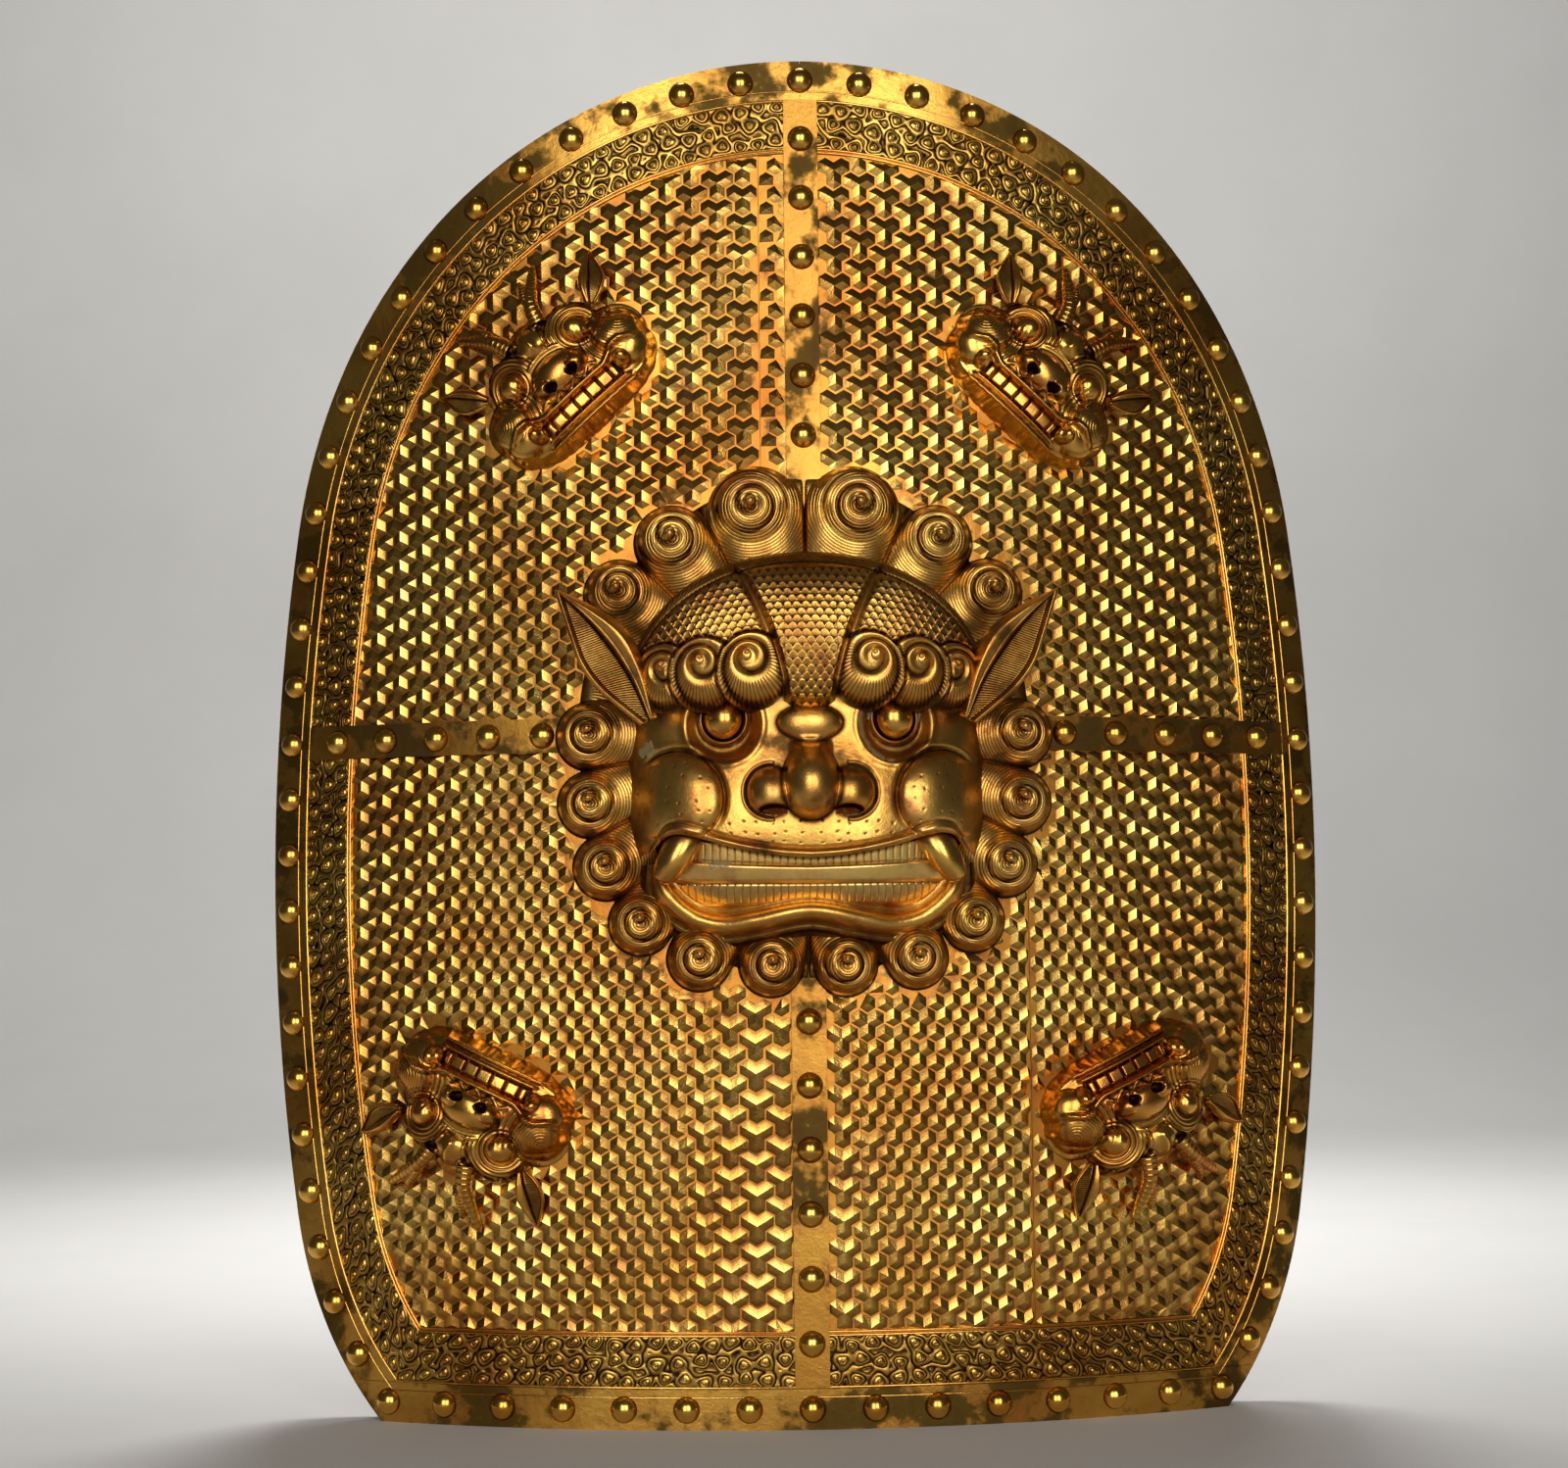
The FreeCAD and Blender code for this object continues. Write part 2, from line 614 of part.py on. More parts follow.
def face_form(grow):
    """The lion's face with its cheeks, nose and lips, larger by a growth all round."""
    low = -d.face_bottom
    shapes = [bulge(FACE_SHARES, d.face_half_width, d.face_depth, low, d.face_top, grow, FACE_FULLNESS)]
    for mirror in (1, -1):
        cheek = d.cheek_radius + grow
        shapes.append(ball(mirror * d.cheek_across, d.face_depth - d.cheek_radius, -d.cheek_down, cheek))
        shapes.append(ball(mirror * d.nostril_across, d.face_depth - d.nostril_radius / 2,
                           -d.nose_down, d.nostril_radius + grow))
    shapes.append(ball(0, d.nose_reach - d.nose_radius, -d.nose_down, d.nose_radius + grow))
    width_share, back_share = BRIDGE_SHARES
    root = Vector(0, FRONT_Y - d.nose_reach + back_share * d.nose_radius, d.crossing_height - d.nose_down)
    shapes.append(Part.makeCylinder(width_share * d.nose_radius + grow, d.nose_down + d.eye_up, root))
    lip_depth = LIP_DEPTH_SHARE * d.face_depth - d.lip_radius
    corner = (d.mouth_half_width + d.lip_radius / 2, CORNER_DEPTH_SHARE * lip_depth,
              -(d.mouth_top + d.mouth_bottom) / 2)
    right = [corner]
    for across, depth, drop in LIP_SHARES:
        right.append((across * d.mouth_half_width, depth * lip_depth,
                      -d.mouth_bottom - drop * d.lip_radius))
    left = [(-across, depth, up) for across, depth, up in right[-2::-1]]
    stops = right + left
    shapes += [capsule(start, end, d.lip_radius + grow) for start, end in zip(stops, stops[1:])]
    return joined(shapes)


def brow_form(grow):
    """The scaled cap over the eyes with its row of six curls, larger by a growth all round."""
    shapes = [bulge(BROW_SHARES, d.brow_half_width, d.brow_depth, d.brow_bottom, d.brow_top, grow,
                    FACE_FULLNESS)]
    for across_share, depth_share, up_share in BROW_CURL_SHARES:
        for mirror in (1, -1):
            shapes.append(ball(mirror * across_share * d.brow_half_width, depth_share * d.brow_depth,
                               up_share * d.brow_top, d.brow_curl_radius + grow))
    return joined(shapes)


def mane_form(grow):
    """The mane: a low collar with a ring of curls, larger by a growth all round."""
    low = d.mane_middle_lift - d.mane_half_height
    high = d.mane_middle_lift + d.mane_half_height
    shapes = [bulge(MANE_SHARES, d.mane_half_width, d.mane_depth, low, high, grow, MANE_FULLNESS)]
    for across_share, up_share, size_share in CURL_SHARES:
        for mirror in (1, -1):
            radius = d.curl_radius * size_share
            x = mirror * across_share * (d.mane_half_width - d.curl_inset)
            seat = R_FRONT - math.sqrt(R_FRONT ** 2 - x ** 2)
            shapes.append(ball(x, d.curl_depth * size_share - radius - seat / 2,
                               d.mane_middle_lift + up_share * (d.mane_half_height - d.curl_inset),
                               radius + grow))
    return joined(shapes)


def mouth_tool():
    """The open mouth, carried from front to back."""
    half = d.mouth_half_width
    top = d.crossing_height - d.mouth_top
    bottom = d.crossing_height - d.mouth_bottom
    y = FRONT_Y - d.nose_reach - d.overrun
    corner = top - CORNER_DROP_SHARE * d.mouth_top
    low = half * MOUTH_LOW_SHARE
    left, right = Vector(-half, y, corner), Vector(half, y, corner)
    upper = Part.BSplineCurve()
    upper.interpolate([left, Vector(-half / 2, y, top), Vector(0, y, top), Vector(half / 2, y, top), right])
    lower = Part.BSplineCurve()
    lower.interpolate([left, Vector(-low, y, bottom), Vector(0, y, bottom + d.lip_radius / 2),
                       Vector(low, y, bottom), right])
    wire = Part.Wire([upper.toShape(), lower.toShape()])
    return Part.Face(wire).extrude(Vector(0, d.nose_reach + 2 * d.overrun, 0))


def lion_mask():
    """The mask: mane, face, brow, eyes, teeth, fangs and ears, each a thin shell or a small casting."""
    seat = cylinder(R_MASK_SEAT)
    wall = -d.mask_wall
    gap = d.mask_gap
    face_outer = face_form(0)
    brow_outer = brow_form(0)
    face_clear = face_form(gap)
    brow_clear = brow_form(gap)
    mouth = mouth_tool()
    eyes = []
    fangs = []
    for side, mirror in (("left", -1), ("right", 1)):
        x = mirror * d.eye_across
        bow = math.sqrt(1 - (d.eye_across / d.face_half_width) ** 2)
        depth = d.face_depth * EYE_DEPTH_SHARE * bow - d.eye_radius + d.eye_proud
        eye = ball(x, depth, d.eye_up, d.eye_radius)
        eyes.append(ball(x, depth, d.eye_up, d.eye_radius + gap))
        keep("lion_eye_" + side, eye.cut(brow_clear).cut(seat))
        across, out, up = FANG_ROOT_SHARES
        root = (mirror * across * d.mouth_half_width, out * d.face_depth, -up * d.mouth_top)
        across, out, up = FANG_TIP_SHARES
        tip = (mirror * across * d.mouth_half_width, out * d.face_depth, -up * d.mouth_top - d.fang_length)
        point = d.fang_radius * FANG_TIP_RADIUS_SHARE
        fangs.append(horn(root, tip, d.fang_radius + gap, point + gap))
        keep("lion_fang_" + side, horn(root, tip, d.fang_radius, point).cut(seat))
    face = face_outer.cut(face_form(wall)).cut(seat).cut(brow_clear).cut(mouth).cut(eyes + fangs)
    keep("lion_face", largest(face))
    keep("lion_brow", largest(brow_outer.cut(brow_form(wall)).cut(seat).cut(eyes)))
    mane = mane_form(0).cut(mane_form(wall)).cut(seat).cut(face_clear).cut(brow_clear)
    keep("lion_mane", largest(mane))
    gum, root = (bulge(FACE_SHARES, d.face_half_width, d.face_depth, -d.face_bottom, d.face_top, -back,
                       FACE_FULLNESS) for back in (d.teeth_back, d.teeth_back + 2 * d.mask_wall))
    teeth = gum.cut(root).cut(seat)
    window = block(-d.mouth_half_width - 2 * d.lip_radius, d.mouth_half_width + 2 * d.lip_radius,
                   d.crossing_height - d.mouth_bottom - d.lip_radius,
                   d.crossing_height - d.mouth_top + d.lip_radius)
    keep("lion_teeth", largest(teeth.common(window).cut(fangs)))
    lion_ears(face_clear, brow_clear)
    mask_pins()


def lion_ears(face_clear, brow_clear):
    """Two leaf-shaped ears, hollowed along their length, that stand out over the mane."""
    length = d.ear_length
    half = d.ear_width / 2
    blank = EAR_BLANK_SHARE * d.ear_width
    front = -blank / 2
    widest = EAR_WIDEST_SHARE * length
    root, tip = Vector(0, front, 0), Vector(0, front, length)
    outline = Part.Wire([Part.Arc(root, Vector(half, front, widest), tip).toShape(),
                         Part.Arc(tip, Vector(-half, front, widest), root).toShape()])
    leaf = Part.Face(outline).extrude(Vector(0, blank, 0))
    bend = EAR_CUP_SHARE * d.ear_width
    cup = Part.makeCylinder(bend, length, Vector(0, -bend, 0))
    cup = cup.cut(Part.makeCylinder(bend - d.ear_wall, length, Vector(0, -bend, 0)))
    leaf = leaf.common(cup)
    mane_clear = mane_form(d.mask_gap)
    for side, mirror in (("left", -1), ("right", 1)):
        ear = leaf.copy()
        ear.rotate(Vector(0, 0, 0), Vector(1, 0, 0), d.ear_forward_degrees)
        ear.rotate(Vector(0, 0, 0), Vector(0, 1, 0), mirror * d.ear_out_degrees)
        ear.translate(Vector(mirror * d.ear_root_across, FRONT_Y - d.ear_lift,
                             d.crossing_height + d.ear_root_up))
        keep("lion_ear_" + side, largest(ear.cut([face_clear, brow_clear, mane_clear])))


def mask_pins():
    """Pins soldered inside the mask and the four heads, closed over burrs at the back."""
    start = Vector(0, AXIS_Y - R_FRONT - d.mask_pin_reach, 0)
    tail = R_LINING_BACK - d.glue_gap - d.burr_wall - d.peen_height
    length = AXIS_Y - tail - start.y
    pin = Part.makeCylinder(d.mask_pin_radius, length, start, Vector(0, 1, 0))
    places = MASK_PLACES + HEAD_PLACES
    keep("mask_pins", Part.Compound([turned(pin, *place) for place in places]))
    burr_start = Vector(0, AXIS_Y - R_LINING_BACK + d.glue_gap, 0)
    burr = Part.makeCylinder(d.burr_radius + d.burr_wall, d.burr_wall, burr_start, Vector(0, 1, 0))
    bore = d.mask_pin_radius + d.rivet_clearance
    burr = burr.cut(Part.makeCylinder(bore, d.burr_wall, burr_start, Vector(0, 1, 0)))
    keep("mask_pin_burrs", Part.Compound([turned(burr, *place) for place in places]))


# Forms of a beast's head, where across, up and radius are shares of its span, and depth of its depth.
# Each ball has one place and a radius, each bar two places and a radius, each horn two and two.
SKULL_SHARES = [(0.0, 0.15, 0.20, 0.36), (0.0, 0.30, -0.20, 0.30), (0.0, 0.72, -0.20, 0.15)]
SIDE_BALL_SHARES = [(0.42, 0.32, 0.0, 0.17), (0.58, 0.30, -0.34, 0.24)]
JAW_SHARES = [(0.58, 0.25, -0.50, 0.20), (0.50, 0.15, -0.80, 0.13)]
EYEBROW_SHARES = ((0.20, 0.42, 0.20), (0.60, 0.25, 0.20), 0.11)
HORN_SHARES = [((0.25, 0.20, 0.40), (0.50, 0.30, 1.00), 0.11, 0.04),
               ((0.60, 0.20, 0.20), (1.00, 0.25, 0.42), 0.15, 0.03)]


def head_form(grow):
    """A snarling beast's head looking down, about the middle of its face, grown by an amount."""
    span = d.head_span

    def at(shares, mirror=1):
        across, depth, up = shares
        return mirror * across * span, depth * d.head_depth, up * span

    shapes = [ball(*at(row[:3]), row[3] * span + grow) for row in SKULL_SHARES]
    shapes += [capsule(at(row[:3], -1), at(row[:3]), row[3] * span + grow) for row in JAW_SHARES]
    for mirror in (1, -1):
        shapes += [ball(*at(row[:3], mirror), row[3] * span + grow) for row in SIDE_BALL_SHARES]
        first, last, radius = EYEBROW_SHARES
        shapes.append(capsule(at(first, mirror), at(last, mirror), radius * span + grow))
        if grow >= 0:
            shapes += [horn(at(first, mirror), at(last, mirror), root * span, tip * span)
                       for first, last, root, tip in HORN_SHARES]
    return joined(shapes)


def beast_heads():
    """Four beast heads, one in each quarter, facing the mask."""
    seat = cylinder(R_HEAD_SEAT)
    core = head_form(-d.head_wall)
    form = head_form(0).cut(core)
    pivot = Vector(0, FRONT_Y, d.crossing_height)
    rows = [
        ("upper_left_head", -d.upper_head_across, d.upper_head_up, d.upper_head_degrees),
        ("upper_right_head", d.upper_head_across, d.upper_head_up, -d.upper_head_degrees),
        ("lower_left_head", -d.lower_head_across, -d.lower_head_down, d.lower_head_degrees),
        ("lower_right_head", d.lower_head_across, -d.lower_head_down, -d.lower_head_degrees),
    ]
    for name, across, up, turn in rows:
        head = form.copy()
        head.rotate(pivot, Vector(0, 1, 0), -turn)
        keep(name, largest(turned(head, across, up).cut(seat)))


BACK_Y = AXIS_Y - R_LINING_BACK


def grip():
    """A turned wooden hand grip, upright between two brackets riveted through the lining."""
    bar_y = BACK_Y + d.grip_stand
    half = d.grip_length / 2
    inner = R_LINING_BACK - d.glue_gap - d.bracket_wall
    outer = R_LINING_BACK - d.glue_gap
    width = d.bracket_width / 2
    for name, sign in (("upper", 1), ("lower", -1)):
        near = sign * half
        far = sign * (half + d.bracket_foot_length)
        low, high = min(near, far), max(near, far)
        foot = layer(inner, outer, low, high).common(block(-width, width, low, high))
        arm_low = min(near, near + sign * d.bracket_wall)
        arm_y = AXIS_Y - outer + d.bracket_wall / 2
        arm = Part.makeBox(2 * width, bar_y - arm_y, d.bracket_wall, Vector(-width, arm_y, arm_low))
        eye = Part.makeCylinder(width, d.bracket_wall, Vector(0, bar_y, arm_low))
        bore = Part.makeCylinder(d.tenon_radius + d.tenon_clearance, d.bracket_wall,
                                 Vector(0, bar_y, arm_low))
        bracket = foot.fuse([arm, eye]).cut(bore)
        bracket = turned(bracket, -d.grip_across, d.crossing_height)
        keep("grip_bracket_" + name, drilled(bracket, SMALL_DRILLS))
    length = half - d.seam_gap
    points = [Vector(d.grip_waist, bar_y, -length), Vector(d.grip_radius, bar_y, 0),
              Vector(d.grip_waist, bar_y, length)]
    side = Part.Arc(*points).toShape()
    low, high = Vector(0, bar_y, -length), Vector(0, bar_y, length)
    profile = Part.Wire([side, Part.makeLine(points[2], high), Part.makeLine(high, low),
                         Part.makeLine(low, points[0])])
    bar = Part.Face(profile).revolve(Vector(0, bar_y, 0), Vector(0, 0, 1), 360)
    end = half + d.bracket_wall
    tenon = Part.makeCylinder(d.tenon_radius, 2 * end, Vector(0, bar_y, -end))
    keep("grip_bar", turned(bar.fuse(tenon), -d.grip_across, d.crossing_height))
    head = small_rivet(R_LINING_BACK - d.glue_gap - d.bracket_wall)
    keep("grip_rivets", Part.Compound([turned(head, *place) for place in GRIP_PLACES]))


def small_rivet(seat):
    """A low-domed rivet with its head at the back and its shank in the board."""
    start = AXIS_Y - R_BOARD_FRONT + d.blind_margin + d.glue_gap
    seat_y = AXIS_Y - seat + d.glue_gap
    rise = (d.small_rivet_radius ** 2 + d.small_rivet_height ** 2) / (2 * d.small_rivet_height)
    dome = Part.makeSphere(rise, Vector(0, seat_y + d.small_rivet_height - rise, 0))
    cap = Part.makeCylinder(rise, d.small_rivet_height, Vector(0, seat_y, 0), Vector(0, 1, 0))
    shank = Part.makeCylinder(d.small_shank_radius, seat_y - start, Vector(0, start, 0), Vector(0, 1, 0))
    return dome.common(cap).fuse(shank).removeSplitter()


def arm_strap():
    """A leather loop for the forearm, held by a riveted plate over each of its ends."""
    face = BACK_Y + d.soft_gap
    half = d.arm_loop_half_height
    wall = d.arm_strap_wall
    x = -d.arm_strap_width / 2
    inner = Part.Arc(Vector(x, face, -half), Vector(x, face + d.arm_loop_depth, 0), Vector(x, face, half))
    outer = Part.Arc(Vector(x, face, half + wall), Vector(x, face + d.arm_loop_depth + wall, 0),
                     Vector(x, face, -half - wall))
    wire = Part.Wire([inner.toShape(), Part.makeLine(Vector(x, face, half), Vector(x, face, half + wall)),
                      outer.toShape(), Part.makeLine(Vector(x, face, -half - wall), Vector(x, face, -half))])
    loop = Part.Face(wire).extrude(Vector(d.arm_strap_width, 0, 0))
    tabs = [Part.makeBox(d.arm_strap_width, wall, d.arm_tab_length + wall, Vector(x, face, low))
            for low in (half, -half - wall - d.arm_tab_length)]
    strap = turned(loop.fuse(tabs).removeSplitter(), d.arm_across, d.crossing_height)
    strap = strap.common(cylinder(R_LINING_BACK - d.soft_gap))
    keep("arm_strap", drilled(strap, SMALL_DRILLS))
    wide = d.arm_strap_width + 2 * d.anchor_margin
    seat_y = face + wall + d.soft_gap
    for name, end in (("upper", 1), ("lower", -1)):
        plate = document.addObject("Part::Box", "ArmPlate" + name.title())
        plate.setExpression("Length", "Sizes.arm_strap_width + 2 * Sizes.anchor_margin")
        plate.setExpression("Width", "Sizes.anchor_wall")
        plate.setExpression("Height", "Sizes.arm_tab_length - 2 * Sizes.arm_strap_wall")
        document.recompute()
        low = end * TAB_MIDDLE - float(plate.Height) / 2
        shape = plate.Shape.copy()
        shape.translate(Vector(-wide / 2, seat_y, low))
        placed = turned(shape, d.arm_across, d.crossing_height)
        keep("arm_plate_" + name, drilled(placed, SMALL_DRILLS))
    head = small_rivet(AXIS_Y - seat_y - d.anchor_wall)
    keep("arm_strap_rivets", Part.Compound([turned(head, *place) for place in ARM_PLACES]))


def hanging_ring():
    """A ring near the top of the back, with a barrel that turns in the bore of an eye."""
    bore = d.barrel_radius + d.ring_clearance
    outer = bore + d.eye_wall
    centre_y = BACK_Y + outer + d.eye_stand
    right = Vector(1, 0, 0)
    centre = Vector(0, centre_y, RING_HEIGHT)
    hole = Part.makeCylinder(bore, d.eye_width, centre - right * (d.eye_width / 2), right)
    eye = Part.makeCylinder(outer, d.eye_width, centre - right * (d.eye_width / 2), right)
    start = AXIS_Y - R_BOARD_FRONT + d.blind_margin + d.glue_gap
    shank = Part.makeCylinder(d.eye_shank_radius, centre_y - bore - start, Vector(0, start, RING_HEIGHT),
                              Vector(0, 1, 0))
    keep("ring_eye", eye.fuse(shank).cut(hole))
    ring = document.addObject("Part::Torus", "HangingRingWire")
    ring.setExpression("Radius1", "Sizes.ring_radius")
    ring.setExpression("Radius2", "Sizes.ring_wire")
    ring.Placement = FreeCAD.Placement(Vector(0, centre_y, RING_HEIGHT - d.ring_radius),
                                       FreeCAD.Rotation(Vector(1, 0, 0), 90))
    barrel = document.addObject("Part::Cylinder", "HangingRingBarrel")
    barrel.setExpression("Radius", "Sizes.barrel_radius")
    barrel.setExpression("Height", "Sizes.barrel_length")
    barrel.Placement = FreeCAD.Placement(centre - right * (d.barrel_length / 2),
                                         FreeCAD.Rotation(Vector(0, 1, 0), 90))
    whole = document.addObject("Part::Fuse", "HangingRing")
    whole.Base = ring
    whole.Tool = barrel
    document.recompute()
    keep_object(whole, "hanging_ring")


for build in (board_staves, gilt_panels, leather_lining, rim_binding, straps, rivets_and_burrs,
              lion_mask, beast_heads, grip, arm_strap, hanging_ring):
    build()
document.recompute()

for item in document.Objects:
    if "Invalid" in item.State or "Error" in item.State:
        raise RuntimeError("%s did not build: %s" % (item.Label, item.State))
for item in parts:
    if item.Shape.isNull() or not item.Shape.isValid():
        raise RuntimeError("%s has no valid shape" % item.Label)

os.makedirs("parts", exist_ok=True)
whole = FreeCAD.BoundBox()
for item in parts:
    item.Shape.exportStep("parts/%s.step" % item.Label)
    whole.add(item.Shape.BoundBox)
    box = item.Shape.BoundBox
    print("%-22s solids %3d  volume %10.1f  x %7.1f %7.1f  y %7.1f %7.1f  z %6.1f %6.1f" % (
        item.Label, len(item.Shape.Solids), item.Shape.Volume,
        box.XMin, box.XMax, box.YMin, box.YMax, box.ZMin, box.ZMax))
print("whole", whole)
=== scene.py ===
"""Looks of the gilded shield: chased gilt copper facing, riveted rim and straps, lion mask, beast heads.

Places on the front are worked out in millimetres: across along the curve of the sheet, up from the
floor, and proud of the sheet. The mask is worked out from the crossing of the straps.
"""

import math

import bpy
import numpy as np
from mathutils import Matrix, Vector


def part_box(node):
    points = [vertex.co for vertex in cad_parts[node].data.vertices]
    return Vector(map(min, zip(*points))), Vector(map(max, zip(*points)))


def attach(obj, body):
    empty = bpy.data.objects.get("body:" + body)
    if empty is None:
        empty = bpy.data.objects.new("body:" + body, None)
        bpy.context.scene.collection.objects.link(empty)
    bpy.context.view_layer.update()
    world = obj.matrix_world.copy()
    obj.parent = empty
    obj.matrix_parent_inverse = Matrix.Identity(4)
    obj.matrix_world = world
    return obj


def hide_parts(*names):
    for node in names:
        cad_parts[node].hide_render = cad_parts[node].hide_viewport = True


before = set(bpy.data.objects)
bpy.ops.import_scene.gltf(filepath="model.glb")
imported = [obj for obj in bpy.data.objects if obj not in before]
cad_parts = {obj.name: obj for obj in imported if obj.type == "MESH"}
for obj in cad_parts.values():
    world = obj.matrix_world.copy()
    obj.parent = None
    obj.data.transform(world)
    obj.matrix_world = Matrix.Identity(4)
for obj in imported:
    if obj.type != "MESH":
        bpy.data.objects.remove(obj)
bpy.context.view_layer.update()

MM = 0.001
# Radii of the fronts of the sheet, the straps and the rim, and the depth of the axis they are bent about
SHEET = 593.0
STRAP_FACE = 595.1
RIM_FACE = 594.4
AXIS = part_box("top_strap")[0].y / MM + STRAP_FACE
# The outline: height, half the width along the curve, half the level bottom, the arch's radius as a share
# of the half width, the angle at which the arch ends, and the height at which the side arc ends
HEIGHT = 760.0
HALF_WIDTH = 318.6
BOTTOM_HALF = 245.0
ARCH_SHARE = 0.9636
ARCH_END = math.radians(9.5)
SIDE_END = 0.145 * HEIGHT
# Height at which the straps cross, and how far in from the edge the rim and the cloud band end
CROSSING = 380.0
RIM_WIDTH = 22.0
BAND_END = 51.0
# Seams of the facing above and below the level straps
UPPER_SEAM = -24.0
LOWER_SEAM = 125.0
SIDES = ((-1, "left"), (1, "right"))
chance = np.random.default_rng(7)


# Places on the bent sheet

def wrap(across, up, proud):
    """A point at radius SHEET + proud, turned by across / SHEET about the upright axis, in metres."""
    angle = across / SHEET
    radius = SHEET + proud
    return np.stack([radius * np.sin(angle), AXIS - radius * np.cos(angle), up + 0 * radius], axis=-1) * MM


def plan(x, up, proud):
    """A point straight in front of the bent sheet: its depth there, less the height proud of it."""
    return np.stack([x, AXIS - np.sqrt(SHEET ** 2 - x ** 2) - proud, up + CROSSING + 0 * x], axis=-1) * MM


def outline_arcs():
    """Centre, radius, first and last angle of the three tangent arcs of the right edge, flat."""
    arch = ARCH_SHARE * HALF_WIDTH
    side = HALF_WIDTH * (1 - ARCH_SHARE * math.cos(ARCH_END)) / (1 - math.cos(ARCH_END))
    arch_up = HEIGHT - arch
    side_up = arch_up + (arch - side) * math.sin(ARCH_END)
    side_across = (arch - side) * math.cos(ARCH_END)
    second = -math.asin((side_up - SIDE_END) / side)
    joint = np.array([side_across + side * math.cos(second), SIDE_END])
    inward = -np.array([math.cos(second), math.sin(second)])
    chord = np.array([BOTTOM_HALF, 0.0]) - joint
    lower = chord @ chord / (2 * chord @ inward)
    centre = joint + inward * lower
    return [((0.0, arch_up), arch, math.pi / 2, ARCH_END),
            ((side_across, side_up), side, ARCH_END, second),
            (tuple(centre), lower, second, None)]


ARCS = outline_arcs()
ARCH_JOINT = ARCS[0][0][1] + ARCS[0][1] * math.sin(ARCH_END)


def edge_line(inset, step):
    """The edge drawn in by an inset, from the middle of the bottom round the right side to the top.

    The last arc and the level bottom line meet at the mitre, where the arc comes down to the inset.
    """
    (cx, cz), radius, first, _ = ARCS[2]
    low = math.asin((inset - cz) / (radius - inset))
    corner = cx + (radius - inset) * math.cos(low)
    runs = [np.stack([np.linspace(0, corner, int(corner / step) + 2)[:-1],
                      np.full(int(corner / step) + 1, inset)], axis=-1)]
    for (cx, cz), radius, first, last in reversed(ARCS):
        last = low if last is None else last
        count = int(radius * abs(last - first) / step) + 2
        angle = np.linspace(last, first, count)
        runs.append(np.stack([cx + (radius - inset) * np.cos(angle),
                              cz + (radius - inset) * np.sin(angle)], axis=-1)[:-1])
    runs.append(np.array([[0.0, HEIGHT - inset]]))
    return np.concatenate(runs)


def inset_of(across, up):
    """How far a place is from the edge: radius less distance from the centre of its arc, or its height."""
    across = np.abs(across)
    depths = [radius - np.hypot(across - cx, up - cz) for (cx, cz), radius, _, _ in ARCS]
    depth = np.where(up > ARCH_JOINT, depths[0], np.where(up > SIDE_END, depths[1], depths[2]))
    return np.minimum(depth, up)


def drawn_in(across, up, inset):
    """Places nearer to the edge than the inset are moved straight in to it, away from their arc."""
    side, across = np.sign(across), np.abs(across)
    choice = np.where(up > ARCH_JOINT, 0, np.where(up > SIDE_END, 1, 2))
    cx, cz, radius = (np.choose(choice, values) for values in zip(*[(*arc[0], arc[1]) for arc in ARCS]))
    away = np.hypot(across - cx, up - cz)
    share = np.minimum(1, (radius - inset) / away)
    across, up = cx + (across - cx) * share, cz + (up - cz) * share
    return side * across, np.maximum(up, inset)


def smooth(low, high, value):
    """0 below low, 1 above high, and an even S curve between."""
    share = np.clip((value - low) / (high - low), 0, 1)
    return share * share * (3 - 2 * share)


def waver(x, z, size, seed):
    """A slow wavering between -1 and 1: a sum of sines that run in four directions."""
    total = 0
    for k in range(4):
        turn = seed * 1.7 + k * 2.4
        total = total + np.sin((x * math.cos(turn) + z * math.sin(turn)) * (1 + 0.37 * k) / size * 2 + seed * k)
    return total / 4


def line_at(value, width):
    """A soft line where a value is 0, as a bell of a width."""
    return np.exp(-(value / width) ** 2)


def soft_max(first, second, width):
    """The larger of two heights, rounded over where they are within a width of each other."""
    near = np.maximum(width - np.abs(first - second), 0) / width
    return np.maximum(first, second) + near * near * width / 4


def rolled(edge, width):
    """A quarter round: 0 at an edge, and 1 from a width inward."""
    return np.sqrt(np.clip(1 - (1 - np.clip(edge / width, 0, 1)) ** 2, 0, 1))


def oval(x, z, cx, cz, half_x, half_z):
    """Distance from the middle of an ellipse as a share of its size: 1 on its line."""
    return np.hypot((x - cx) / half_x, (z - cz) / half_z)


def dome(x, z, cx, cz, half_x, half_z, power=0.5):
    """1 at the middle of an ellipse and 0 at its edge: (1 - distance squared) to a power."""
    return np.maximum(1 - ((x - cx) / half_x) ** 2 - ((z - cz) / half_z) ** 2, 0) ** power


def through(stops, values, at):
    """A smooth line through given stops: cubic pieces whose slopes are those of the neighbours."""
    stops, values = np.asarray(stops, float), np.asarray(values, float)
    slopes = np.gradient(values, stops)
    at = np.clip(at, stops[0], stops[-1])
    index = np.clip(np.searchsorted(stops, at) - 1, 0, len(stops) - 2)
    width = stops[index + 1] - stops[index]
    t = (at - stops[index]) / width
    return ((1 + 2 * t) * (1 - t) ** 2 * values[index] + t * (1 - t) ** 2 * width * slopes[index]
            + t * t * (3 - 2 * t) * values[index + 1] + t * t * (t - 1) * width * slopes[index + 1])


def smooth_run(stops, spot):
    """Points of a smooth line through stops, at places counted in stops."""
    stops = np.asarray(stops, float)
    return np.stack([through(np.arange(len(stops)), column, spot) for column in stops.T], axis=-1)


def unit(vectors):
    """Vectors divided by their lengths."""
    return vectors / np.linalg.norm(vectors, axis=-1, keepdims=True)


def whole_turn(count):
    """The angles of one turn in even steps."""
    return np.linspace(0, 2 * math.pi, count, endpoint=False)


# Mesh making

